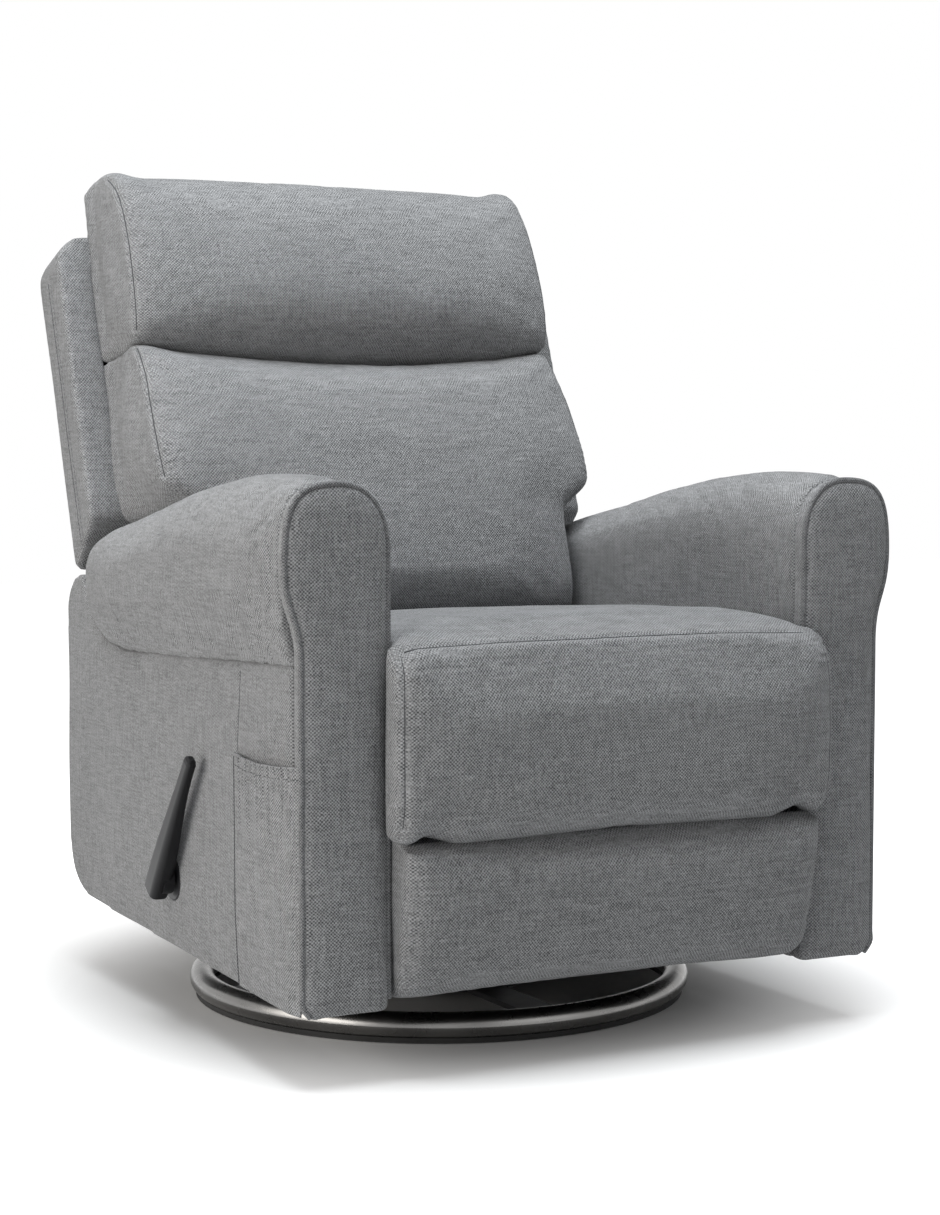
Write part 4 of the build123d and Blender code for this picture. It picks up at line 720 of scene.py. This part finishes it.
# The section at the middle of the seat, as y and z
SEAT_OUTLINE = (
    (92, 352), (92, 398), (90, 430), (80, 444), (60, 451), (-55, 460), (-192, 467), (-277, 471),
    (-340, 472), (-386, 470), (-410, 465), (-426, 459), (-438, 448), (-446, 430), (-449, 395),
    (-450, 350), (-450, 310), (-448, 282), (-443, 264), (-430, 253), (-412, 250), (-396, 256),
    (-390, 272), (-389, 300), (-389, 352), (-200, 352),
)
BEFORE_ARM = -404.0
BETWEEN_ARMS = 257.0
SEAT_CROWN, CROWN_HALF = 4.0, 256.0
# How the seat's ends round off: amount, its start from the middle, its run, its power
ROUND_BEFORE_ARM = (13.0, 238.0, 36.0, 2.4)
ROUND_BETWEEN_ARMS = (6.0, 236.0, 20.0, 2.2)
# The border's underside gives room to the footrest's control links
LINK_ROOM = 12.0
LINK_ROOM_INNER = (205, 224)
LINK_ROOM_OUTER = (243, 253)
# Start and run of the seat's top upwards, its front forwards and its underside downwards
TOP_ZONE, FRONT_ZONE, UNDER_ZONE = (400, 55), (400, 40), (-330, 50)
# What holds the seat while it fills: its foot behind the border, its front edge and its ends
SEAT_FOOT_Z, BORDER_REAR = 356, -380
SEAT_EDGE_Y, SEAT_EDGE_RUN, SEAT_EDGE_Z, SEAT_EDGE_HOLD = -424, 9, 430, 0.9
SEAT_END, SEAT_END_HOLD = (248, 258), 0.8
SEAT_MIDDLE_RINGS = np.linspace(-234, 234, 27)
SEAT_END_RINGS = np.array([242, 250, 254, 256, 258, 263, 268, 272, 274.0])
SEAT_SEAM_Y, SEAT_SEAM_Z, SEAT_SEAM_HALF = -426, 466, 262
# The seam round each end of the border, on the left: x, y and z
BORDER_SEAM = ((264, -426, 452), (267, -440, 432), (268, -443, 350), (266, -440, 295), (262, -430, 276))


def rounding(x, amount, start, run, power):
    return amount * share(abs(x), start, run) ** power


def seat_ring(x):
    """The seat's section at one place across it."""
    path = smooth_path([(x, y, z) for y, z in SEAT_OUTLINE], 130, closed=True)
    before = path[:, 1] < BEFORE_ARM
    draw = np.where(before, rounding(x, *ROUND_BEFORE_ARM), rounding(x, *ROUND_BETWEEN_ARMS))
    top = share(path[:, 2], *TOP_ZONE)
    front = share(-path[:, 1], *FRONT_ZONE)
    under = share(-path[:, 2], *UNDER_ZONE)
    crown = SEAT_CROWN * (1 - min(1.0, (x / CROWN_HALF) ** 2))
    link_room = LINK_ROOM * ramp_up(abs(x), *LINK_ROOM_INNER) * (1 - ramp_up(abs(x), *LINK_ROOM_OUTER))
    path[:, 2] += top * (crown - draw) + under * np.maximum(draw, link_room)
    path[:, 1] += front * draw
    if abs(x) > BETWEEN_ARMS:
        path[:, 1] = np.minimum(path[:, 1], BEFORE_ARM)
    return path


def seat_held(points):
    low = (points[:, 2] < SEAT_FOOT_Z) & (points[:, 1] > BORDER_REAR)
    edge = np.exp(-((points[:, 1] - SEAT_EDGE_Y) / SEAT_EDGE_RUN) ** 2) * (points[:, 2] > SEAT_EDGE_Z)
    end = ramp_up(np.abs(points[:, 0]), *SEAT_END)
    return np.maximum(np.maximum(low.astype(float), SEAT_EDGE_HOLD * edge), SEAT_END_HOLD * end)


seat_places = np.r_[-SEAT_END_RINGS[::-1], SEAT_MIDDLE_RINGS, SEAT_END_RINGS]
seat = loft("seat_cushion", [seat_ring(x) for x in seat_places])
remesh(seat, CUSHION_VOXEL)
relax(seat, 3)
plump(seat, seat_held, pressure=3.0, reach=8.0, slack=0.003)
refine(seat)
uneven(seat, amount=0.8, size=170, seed=23)
seat_line = np.linspace(-SEAT_SEAM_HALF, SEAT_SEAM_HALF, 110)
front_seam = lay(seat, [(x, SEAT_SEAM_Y, SEAT_SEAM_Z) for x in seat_line])
press(seat, front_seam, depth=2.2, width=4.2, gather=0.6, pitch=24)
seam("seat_front_seam", seat, lay(seat, front_seam), "chair")
for side, word in SIDES:
    border = lay(seat, smooth_path([(side * x, y, z) for x, y, z in BORDER_SEAM], 60))
    press(seat, border, depth=1.4, width=4.0, gather=0.9, pitch=15)
    for corner in (border[:16], border[-14:]):
        press(seat, corner, depth=0.3, width=5.0, gather=1.4, pitch=10)
    seam(f"seat_end_seam_{word}", seat, lay(seat, border), "chair", radius=0.6)
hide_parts("seat_pad", "seat_front_roll")
dress(seat, FABRIC, "chair")

# Arms

ARCH_INNER_FULLNESS = 0.62
ARCH_OUTER_FULLNESS = 0.78
# Shares of the roll's width and height: its crown, where its inner face turns, its widest place
CROWN_SHARE, TURN_SHARE, BULGE_SHARE = 0.48, 0.62, 0.56
NECK_EASE = 0.28
UNDER_POWER = 3.6
SWELL, SWELL_RUN, SWELL_TOP = 5.0, 90.0, 440.0
# Place along the roll, its top, lift of its underside over the seam line, draw-in
ROLL_STATIONS = (
    (PANEL_REAR + 0.5, 630, 0, 3), (-340, 635, 0, 3), (-250, 636, 0, 3), (-180, 631, 0, 3),
    (-120, 625, 0, 3), (-50, 614, 0, 3), (50, 594, 0, 3), (125, 580, 0, 3), (190, 569, 10, 5),
    (225, 558, 26, 8), (250, 547, 43, 15), (264, 535, 59, 23), (270, 523, 71, 30),
)
ROLL_RINGS = np.r_[np.linspace(PANEL_REAR + 0.5, 190, 26), np.linspace(202, 270, 9)]
ROLL_LAP = 4.0
# What holds the roll while it fills: strips over its seam, behind its front and on its inner face
SEAM_STRIP, FRONT_STRIP, FRONT_STRIP_RUN = 10, 14, 10
INNER_STRIP, INNER_STRIP_RUN, INNER_HOLD = 9, 6, 0.85
# Slanting folds on the outer side of the roll, below its crown and near its front
FOLD_DEPTH, FOLD_PITCH, FOLD_WANDER = 3.2, 7.0, 1.6
FOLD_SLANT_Y, FOLD_SLANT_Z = 0.62, 0.5
FOLD_OUTER, FOLD_LOWER = (335, 366), (-560, -480)
FOLD_PLACE, FOLD_RUN = -285.0, 85.0
# The seam under the roll: its ends along the arm, how far out and up it is laid on the roll
ROLL_SEAM_ENDS, ROLL_SEAM_OUT, ROLL_SEAM_UP = (-366, 165), 6, 3
# The front panel's rounded corners: below the roll's seam, at its outer foot, at its inner foot
NECK_GAP, OUTER_CORNER_WIDE, OUTER_CORNER_HIGH, INNER_CORNER = 12, 13, 15, 5
# Place of each ring of the front panel, and how far it is drawn in
PANEL_RINGS = (
    (PANEL_REAR, 0.6), (-384, 0.2), (-391, 0.2), (-395, 1.6), (-398, 5.0), (-400.2, 12.0),
    (-401.8, 24.0), (-402.5, 36.0),
)
WELT_RADIUS, WELT_Y, WELT_INWARD = 3.3, -394.0, 0.9


def quarter(side, crown, fullness, count):
    """Curve from an upright side up and over to a level crown."""
    return bezier(
        side,
        (side[0], side[1] + fullness * (crown[1] - side[1])),
        (crown[0] + fullness * (side[0] - crown[0]), crown[1]),
        crown,
        count,
    )


def roll_outline(low, top, draw, side, necked=False):
    """Section of the arm roll, from the foot of its inner face over the top to its outer foot."""
    inner = ARM_INNER + draw
    outer = ARM_SIDE + ROLL_OVERHANG - draw
    foot = ARM_SIDE - draw
    high = top - low
    crown = (inner + CROWN_SHARE * (outer - inner), top)
    start = (inner, low + TURN_SHARE * high)
    bulge = (outer, low + BULGE_SHARE * high)
    rise = [(inner, low + s * TURN_SHARE * high) for s in np.linspace(0, 1, 8, endpoint=False)]
    over = quarter(start, crown, ARCH_INNER_FULLNESS, 15)
    down = quarter(bulge, crown, ARCH_OUTER_FULLNESS, 15)[-2::-1]
    if necked:
        ease = NECK_EASE * high
        under = bezier(bulge, (outer, bulge[1] - ease), (foot, low + ease), (foot, low), 15)[1:]
    else:
        drop = np.linspace(0, 1, 15)[1:]
        across = outer - (outer - foot) * drop**UNDER_POWER
        under = np.stack([across, low + BULGE_SHARE * high * (1 - drop)], axis=1)
    return np.vstack([rise, over, down, under]) * (side, 1)


def roll_seam(y):
    """Height of the seam under the roll."""
    return SEAM_FRONT + (SEAM_TURN - SEAM_FRONT) * (y - PANEL_REAR) / (SEAM_TURN_Y - PANEL_REAR)


def arm_foot(y):
    """Height of the arm's lower edge."""
    return ARM_BOTTOM + ARM_FOOT_RISE * (y - PANEL_REAR) / (ARM_REAR - PANEL_REAR)


def side_swell(y, z):
    """How far the padded side stands out."""
    away = np.minimum.reduce([z - arm_foot(y), SWELL_TOP - z + 0 * y, y - PANEL_REAR, ARM_REAR - y])
    return SWELL * np.clip(away / SWELL_RUN, 0, 1) ** 0.7


def arm_roll(side, word):
    stations = np.array(ROLL_STATIONS, float)
    rings = []
    for y in ROLL_RINGS:
        top, lift, draw = (table_value(stations, y, column) for column in (1, 2, 3))
        section = roll_outline(roll_seam(y) + lift - ROLL_LAP, top, draw, side)
        rings.append([(a, y, b) for a, b in section])
    obj = loft(f"arm_roll_cover_{word}", rings)
    remesh(obj, CUSHION_VOXEL)
    relax(obj, 3)

    def held(points):
        under = np.clip((roll_seam(points[:, 1]) + SEAM_STRIP - points[:, 2]) / SEAM_STRIP, 0, 1)
        front = np.clip((PANEL_REAR + FRONT_STRIP - points[:, 1]) / FRONT_STRIP_RUN, 0, 1)
        inner = np.clip((ARM_INNER + INNER_STRIP - np.abs(points[:, 0])) / INNER_STRIP_RUN, 0, 1)
        return np.maximum(np.maximum(under, front), INNER_HOLD * inner)

    plump(obj, held, pressure=3.0, reach=8.0, slack=0.006)
    refine(obj)
    co = places(obj)
    outer = ramp_up(np.abs(co[:, 0]), *FOLD_OUTER)
    lower = ramp_up(-co[:, 2], *FOLD_LOWER)
    slant = (co[:, 1] * FOLD_SLANT_Y + co[:, 2] * FOLD_SLANT_Z) / FOLD_PITCH
    slant += FOLD_WANDER * ripple(co, size=170, seed=3)
    fold = 1 - np.abs(np.sin(slant)) ** 0.5
    ahead = np.exp(-((co[:, 1] - FOLD_PLACE) / FOLD_RUN) ** 2)
    move(obj, co - normals(obj) * (FOLD_DEPTH * fold * outer * lower * ahead)[:, None])
    uneven(obj, amount=0.8, size=160, seed=25)
    line = np.linspace(*ROLL_SEAM_ENDS, 130)
    sewn = [(side * (ARM_SIDE + ROLL_SEAM_OUT), y, roll_seam(y) + ROLL_SEAM_UP) for y in line]
    press(obj, lay(obj, sewn), depth=0.5, width=7.0, gather=1.7, pitch=27)
    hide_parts(f"arm_roll_{word}")
    dress(obj, FABRIC, "chair")


def inward(outline, amount):
    """The outline moved in by an amount, square to its own line."""
    outline = np.array(outline, float)
    ahead = np.roll(outline, -1, axis=0) - np.roll(outline, 1, axis=0)
    ahead /= np.maximum(np.linalg.norm(ahead, axis=1), 1e-9)[:, None]
    out = np.stack([ahead[:, 1], -ahead[:, 0]], axis=1)
    middle = outline.mean(axis=0)
    if ((outline - middle) * out).sum() < 0:
        out = -out
    return outline - amount * out


def front_outline(side):
    """Front of the arm: the roll's section carried down to the arm's foot."""
    roll = [tuple(p) for p in roll_outline(SEAM_FRONT, PANEL_TOP, 0, side, necked=True)]
    neck = SEAM_FRONT - NECK_GAP
    downwards = np.linspace(neck, ARM_BOTTOM + OUTER_CORNER_HIGH, 30)
    inwards = np.linspace(ARM_SIDE - OUTER_CORNER_WIDE, ARM_INNER + INNER_CORNER, 9)
    upwards = np.linspace(ARM_BOTTOM + INNER_CORNER, neck, 30)
    down = [(side * ARM_SIDE, z) for z in downwards]
    foot = [(side * a, ARM_BOTTOM) for a in inwards]
    up = [(side * ARM_INNER, z) for z in upwards]
    points = smooth_path([(a, b, 0) for a, b in roll + down + foot + up], 220, closed=True)
    return points[:, :2]


def nearest(outline, x, z):
    """Index of the outline's point nearest to a place."""
    return int(np.argmin(np.hypot(outline[:, 0] - x, outline[:, 1] - z)))


def front_welt(outline, side, word):
    """Piping round the front panel, from its inner foot over the top to its outer foot."""
    edge = inward(outline, WELT_INWARD)
    ordered = np.roll(edge, -nearest(edge, side * ARM_INNER, ARM_BOTTOM), axis=0)
    if np.abs(ordered[5, 0] - ordered[0, 0]) > np.abs(ordered[5, 1] - ordered[0, 1]):
        ordered = np.roll(ordered[::-1], 1, axis=0)
    stop = nearest(ordered, side * ARM_SIDE, ARM_BOTTOM)
    line = smooth_path(ordered[2:stop + 2], 260)
    welt = tube(f"arm_welt_{word}", [(a, WELT_Y, b) for a, b in line], WELT_RADIUS, sides=10)
    dress(welt, WELT, "chair")


def front_panel(side, word):
    outline = front_outline(side)
    rings = [[(a, y, b) for a, b in inward(outline, amount)] for y, amount in PANEL_RINGS]
    obj = loft(f"arm_front_cover_{word}", rings)
    remesh(obj, FRONT_VOXEL)
    relax(obj, 4)
    refine(obj)
    uneven(obj, amount=0.7, size=170, seed=11)
    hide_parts(f"arm_front_panel_{word}")
    dress(obj, FABRIC, "chair")
    front_welt(outline, side, word)


def arm_body(side, word):
    nodes = (f"arm_side_panel_{word}", f"arm_inner_panel_{word}", f"arm_frame_{word}")
    obj = from_cad(f"arm_body_cover_{word}", *nodes)
    remesh(obj, PANEL_VOXEL)
    relax(obj, 6)
    refine(obj)
    co = places(obj)
    outer = share(np.abs(co[:, 0]), ARM_SIDE - 10, 6)
    swell = outer * (side_swell(co[:, 1], co[:, 2]) + 0.8 * ripple(co, size=160, seed=5))
    co[:, 0] += side * swell
    move(obj, co)
    shade(obj)
    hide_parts(*nodes)
    dress(obj, FABRIC, "chair")
    return obj


# Pocket on the right arm: a cloth panel sewn on three sides, with a gathered elastic hem

POCKET_FRONT, POCKET_REAR, POCKET_TOP = -390.0, -238.0, 337.0
POCKET_FOOT_GAP = 4.0
COLUMNS, ROWS = 150, 110
CLOTH = 1.6
HEM_SAG = 3.5
# How far the cloth stands off the arm: everywhere, less at its front edge, more at its hem
STAND_OFF, FRONT_TUCK, FRONT_TUCK_RUN, HEM_STAND_OFF = 2.4, 4.2, 0.07, 5.4
POCKET_FOLD, FOLDS_ACROSS = 2.3, 4.2
PLEAT_DEPTH, PLEAT_WIDTH, PLEAT_DRIFT = 1.6, 0.016, 0.05
# At the hem itself a pleat has a share of its depth, and all of it a little below
PLEAT_AT_HEM, PLEAT_HEM_RUN = 0.4, 0.03
# Place across of each pleat under the hem, how far down it runs, its depth against PLEAT_DEPTH
PLEATS = (
    (0.09, 0.10, 1.8), (0.17, 0.20, 2.6), (0.27, 0.12, 2.2), (0.36, 0.30, 3.0), (0.45, 0.14, 2.0),
    (0.54, 0.22, 2.8), (0.63, 0.11, 2.0), (0.71, 0.26, 2.8), (0.80, 0.13, 2.2), (0.89, 0.18, 2.4),
)
HEM_STITCH_UP = 0.955
EDGE_SEAM_ACROSS = 0.985
ON_CLOTH = (-1.7, 0, 0)
ON_RIM = (-0.5, 0, 0)


def pocket_point(across, up):
    """Across runs from the pocket's front edge to its rear one, up from its foot to its hem."""
    y = POCKET_FRONT + across * (POCKET_REAR - POCKET_FRONT)
    low = arm_foot(y) + POCKET_FOOT_GAP
    z = low + up * (POCKET_TOP - low) - HEM_SAG * math.sin(math.pi * across) * up**3
    belly = math.sin(math.pi * across) ** 0.8
    folds = math.sin(2 * math.pi * (FOLDS_ACROSS * across + 0.12 * math.sin(5 * up)) + 0.6)
    out = STAND_OFF - FRONT_TUCK * math.exp(-((across / FRONT_TUCK_RUN) ** 2))
    out += HEM_STAND_OFF * belly * up**1.8
    out += belly * POCKET_FOLD * folds * up**2 * (1.35 - up)
    for middle, run, depth in PLEATS:
        drift = middle + PLEAT_DRIFT * (0.5 - middle) * (1 - up) / run
        fade = math.exp(-(((1 - up) / run) ** 2)) * min(1.0, (1 - up) / PLEAT_HEM_RUN + PLEAT_AT_HEM)
        out -= PLEAT_DEPTH * depth * fade * math.exp(-(((across - drift) / PLEAT_WIDTH) ** 2))
    return (-ARM_SIDE - side_swell(np.array([y]), np.array([z]))[0] - out, y, z)


def side_pocket():
    steps = np.arange(COLUMNS + 1) / COLUMNS
    verts = [pocket_point(across, i / ROWS) for i in range(ROWS + 1) for across in steps]
    faces = []
    for i in range(ROWS):
        for j in range(COLUMNS):
            a = i * (COLUMNS + 1) + j
            faces.append((a, a + COLUMNS + 1, a + COLUMNS + 2, a + 1))
    pocket = piece("side_pocket_cloth", verts, faces)
    thick = pocket.modifiers.new("Cloth", "SOLIDIFY")
    thick.thickness = CLOTH * MM
    thick.offset = 1.0
    settle(pocket)
    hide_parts("side_pocket")
    dress(pocket, FABRIC, "chair")
    hem = np.array([pocket_point(across, HEM_STITCH_UP) for across in steps]) + ON_CLOTH
    # The hem stitches and the rear edge seam take the near-black seam thread: thread, darkened as painted
    # shade along the hem and the sewn rear edge.
    hem_stitches = stitch_row("pocket_hem_stitches", hem, length=4.0, gap=2.0, radius=0.5)
    dress(hem_stitches, SEAM_THREAD_AND_SHADE, "chair")
    rim = np.array(verts[ROWS * (COLUMNS + 1):]) + ON_RIM
    hem_roll = dress(tube("pocket_hem", rim, CLOTH, sides=8), FABRIC, "chair")
    rear_edge = np.array([pocket_point(EDGE_SEAM_ACROSS, up) for up in np.linspace(0, 0.99, 90)])
    edge_seam = tube("pocket_edge_seam", rear_edge + ON_CLOTH, 0.7, sides=6)
    dress(edge_seam, SEAM_THREAD_AND_SHADE, "chair")


# The upright seam on the arm's side ends at the pocket's hem on the right, near the foot on the left
SIDE_SEAM_TOP = 426
SIDE_SEAM_FOOT = {"right": POCKET_TOP + 3, "left": ARM_BOTTOM + 10}

for side, word in SIDES:
    arm_roll(side, word)
    front_panel(side, word)
    body = arm_body(side, word)
    heights = np.linspace(SIDE_SEAM_TOP, SIDE_SEAM_FOOT[word], 70)
    upright = lay(body, [(side * (ARM_SIDE + 10), POCKET_REAR, z) for z in heights])
    press(body, upright, depth=1.2, width=3.5)
    seam(f"side_seam_{word}", body, lay(body, upright), "chair", radius=0.6)
side_pocket()

# Footrest pad

FOOT_LENGTH = 150.0
FOOT_HALF = 260.0
FOOT_HIGH = 56.0
BOARD_HALF = 251.0
# The pad's rear lies on the board, and its lip reaches behind the board's ends
ON_BOARD, BEHIND_BOARD = 15.0, -8.0
FOOT_CORNER, FOOT_CORNER_RUN = 20.0, 30.0
# How the pad thins toward its ends: amount, its start from the middle, its run, its power
THIN_ENDS = (12.0, 236.0, 23.0, 2.4)
FOOT_HELD, FOOT_HELD_RUN = 30.0, 12.0
FOOT_LINE = (4, -122)
FOOT_MIDDLE_RINGS = np.linspace(-234, 234, 15)
FOOT_END_RINGS = np.array([244, 249, BOARD_HALF + 0.4, BOARD_HALF + 1, 255, 258, FOOT_HALF])


def foot_ring(x):
    """The pad's section at one place across it: drawn in at its ends, lower corners rounded."""
    amount, start, run, power = THIN_ENDS
    high = FOOT_HIGH - amount * max(0.0, (abs(x) - start) / run) ** power
    rear = BEHIND_BOARD if abs(x) > BOARD_HALF + 0.5 else ON_BOARD
    outline = [
        (12, rear + 1), (15, 30), (14, 42), (5, high - 4), (-20, high), (-75, high + 1.5), (-116, high),
        (-137, high - 3), (-147, high - 12), (-FOOT_LENGTH, 36), (-FOOT_LENGTH, rear + 1), (-75, rear),
    ]
    path = smooth_path([(u, n, 0) for u, n in outline], 80, closed=True)
    low = share(-path[:, 0], FOOT_LENGTH - FOOT_CORNER_RUN, FOOT_CORNER_RUN) * share(path[:, 1], 14, 24)
    corner = FOOT_CORNER * (1 - np.sqrt(1 - np.minimum(low, 0.999) ** 2)) / FOOT_HALF
    return [foot_point(x * (1 - c), u, n) for (u, n, _), c in zip(path, corner)]


def foot_held(points):
    """The pad's rear holds while it fills."""
    y = points[:, 1] - FOOT_TOP[0]
    z = points[:, 2] - FOOT_TOP[1]
    forward = -y * math.cos(FOOT_TILT) - z * math.sin(FOOT_TILT)
    return np.clip((FOOT_HELD - forward) / FOOT_HELD_RUN, 0, 1)


foot_places = np.r_[-FOOT_END_RINGS[::-1], FOOT_MIDDLE_RINGS, FOOT_END_RINGS]
foot = loft("foot_pad_cover", [foot_ring(x) for x in foot_places])
remesh(foot, PANEL_VOXEL)
relax(foot, 3)
plump(foot, foot_held, pressure=3.0, reach=5.0, slack=0.003)
refine(foot)
uneven(foot, amount=0.7, size=160, seed=27)
for side, _ in SIDES:
    ups = np.linspace(*FOOT_LINE, 50)
    line = [foot_point(side * (FOOT_HALF - 10), u, FOOT_HIGH - 2) for u in ups]
    press(foot, lay(foot, line), depth=0.8, width=5.0, gather=0.7, pitch=18)
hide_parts("foot_pad")
dress(foot, FABRIC, "footrest")

# Back shell and rear apron

SHELL_SIDE = 361
SHELL_SEAM = (262, 622)
SHELL_SEAM_BEHIND = -22
STITCH_ROWS = (("a", 0), ("b", 9))

shell = from_cad("back_shell_cover", "back_shell")
remesh(shell, SHELL_VOXEL)
relax(shell, 5)
refine(shell)
uneven(shell, amount=1.0, size=210, seed=17)
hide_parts("back_shell")
dress(shell, FABRIC, "back")
for side, word in SIDES:
    for label, shift in STITCH_ROWS:
        ups = np.linspace(*SHELL_SEAM, 90)
        line = [back_point(side * SHELL_SIDE, u, SHELL_SEAM_BEHIND + shift) for u in ups]
        path = lay(shell, line, 0.3)
        stitches = stitch_row(f"shell_stitch_{label}_{word}", path, length=5.0, gap=2.5, radius=0.6)
        dress(stitches, TOPSTITCH, "back")
        if label == "a":
            seam(f"shell_seam_{word}", shell, lay(shell, line), "back", radius=0.7)

apron = from_cad("rear_apron_cover", "rear_apron")
remesh(apron, PANEL_VOXEL)
relax(apron, 4)
refine(apron)
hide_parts("rear_apron")
dress(apron, FABRIC, "chair")

# Floor, light and camera; from here on lengths are metres, apart from the floor's corners

FLOOR_HALF, FLOOR_Z = 9000, -1
# Distances in metres from the chair over which the floor's glow comes in: nearer than these, the unglowing
# floor is darker, painted shade around the chair.
PAINTED_SHADE_FADE_START, PAINTED_SHADE_FADE_END = 0.25, 0.85
WORLD_LIGHT = 0.175
# Name, place, aim, size, power and colour of each lamp
LAMPS = (
    ("key_left", (-3.2, -0.4, 0.9), (0, 0, 0.45), (2.6, 1.8), 80, (1.0, 0.965, 0.92)),
    ("top", (-0.2, -0.45, 3.2), (0, -0.1, 0.4), (2.0, 2.0), 122, (0.95, 0.98, 1.0)),
    ("front", (1.2, -3.8, 1.3), (0, 0, 0.5), (2.4, 1.8), 10, (1.0, 1.0, 1.0)),
)
CAMERA_PLACE = (-1.370, -2.658, 0.663)
CAMERA_YAW, CAMERA_PITCH = math.radians(28.0), math.radians(3.71)
LENS, SENSOR = 72.3, 36.0


def floor_finish():
    """Pale floor: seen directly or in a reflection, it glows brighter with distance from the object; near
    the object, where it does not glow, it stays darker as painted shade, and its glow in reflections is a
    painted reflection.
    """
    f = Finish("pale_floor")
    mottle = f.noise(scale=2.5, detail=2.0)
    tones = f.ramp(mottle, ((0.3, (0.66, 0.66, 0.66)), (0.7, (0.70, 0.70, 0.70))))
    f.link(tones, f.shader.inputs["Base Color"])
    f.surface({"Roughness": 0.9, "Specular IOR Level": 0.0})
    place = f.add("ShaderNodeTexCoord")
    reach = f.worked_out("ShaderNodeVectorMath", "LENGTH", place.outputs["Object"])["Value"]
    rise = f.add("ShaderNodeMapRange")
    rise.interpolation_type = "SMOOTHSTEP"
    rise.inputs["From Min"].default_value = PAINTED_SHADE_FADE_START
    rise.inputs["From Max"].default_value = PAINTED_SHADE_FADE_END
    f.link(reach, rise.inputs["Value"])
    seen = f.add("ShaderNodeLightPath")
    either = f.math("MAXIMUM", seen.outputs["Is Camera Ray"], seen.outputs["Is Glossy Ray"])
    glow = f.add("ShaderNodeEmission")
    glow.inputs["Color"].default_value = (1, 1, 1, 1)
    f.link(f.math("MULTIPLY", either, rise.outputs["Result"]), glow.inputs["Strength"])
    both = f.add("ShaderNodeAddShader")
    f.link(f.shader.outputs[0], both.inputs[0])
    f.link(glow.outputs[0], both.inputs[1])
    f.link(both.outputs[0], f.tree.nodes["Material Output"].inputs["Surface"])
    return f.material


def studio_world():
    """White where it is seen directly or in a reflection, and a low even light elsewhere."""
    world = bpy.data.worlds.new("studio")
    world.use_nodes = True
    bpy.context.scene.world = world
    nodes = world.node_tree.nodes
    link = world.node_tree.links.new
    background = nodes["Background"]
    background.inputs["Color"].default_value = (1, 1, 1, 1)
    # Reflections see full white while the world lights the chair at only WORLD_LIGHT: a painted reflection.
    rays = nodes.new("ShaderNodeLightPath")
    direct = nodes.new("ShaderNodeMath")
    direct.operation = "MAXIMUM"
    link(rays.outputs["Is Camera Ray"], direct.inputs[0])
    link(rays.outputs["Is Glossy Ray"], direct.inputs[1])
    strength = nodes.new("ShaderNodeMath")
    strength.operation = "MULTIPLY_ADD"
    strength.inputs[1].default_value = 1.0 - WORLD_LIGHT
    strength.inputs[2].default_value = WORLD_LIGHT
    link(direct.outputs[0], strength.inputs[0])
    link(strength.outputs[0], background.inputs["Strength"])


def area_light(name, place, aim, size, power, colour):
    data = bpy.data.lights.new(name, "AREA")
    data.shape = "RECTANGLE"
    data.size, data.size_y = size
    data.energy = power
    data.color = colour
    lamp = bpy.data.objects.new(name, data)
    lamp.location = place
    lamp.rotation_euler = (Vector(aim) - Vector(place)).to_track_quat("-Z", "Y").to_euler()
    bpy.context.scene.collection.objects.link(lamp)


def photo_camera():
    data = bpy.data.cameras.new("camera")
    data.lens = LENS
    data.sensor_width = SENSOR
    data.sensor_fit = "AUTO"
    camera = bpy.data.objects.new("camera", data)
    camera.location = CAMERA_PLACE
    level = math.cos(CAMERA_PITCH)
    aim = Vector((math.sin(CAMERA_YAW) * level, math.cos(CAMERA_YAW) * level, -math.sin(CAMERA_PITCH)))
    camera.rotation_euler = aim.to_track_quat("-Z", "Y").to_euler()
    bpy.context.scene.collection.objects.link(camera)
    bpy.context.scene.camera = camera


corners = [(x * FLOOR_HALF, y * FLOOR_HALF, FLOOR_Z) for x, y in ((-1, -1), (1, -1), (1, 1), (-1, 1))]
floor = piece("floor", corners, [(0, 1, 2, 3)])
floor.data.materials.append(floor_finish())
studio_world()
for lamp in LAMPS:
    area_light(*lamp)
photo_camera()
bpy.context.scene.view_settings.view_transform = "Standard"
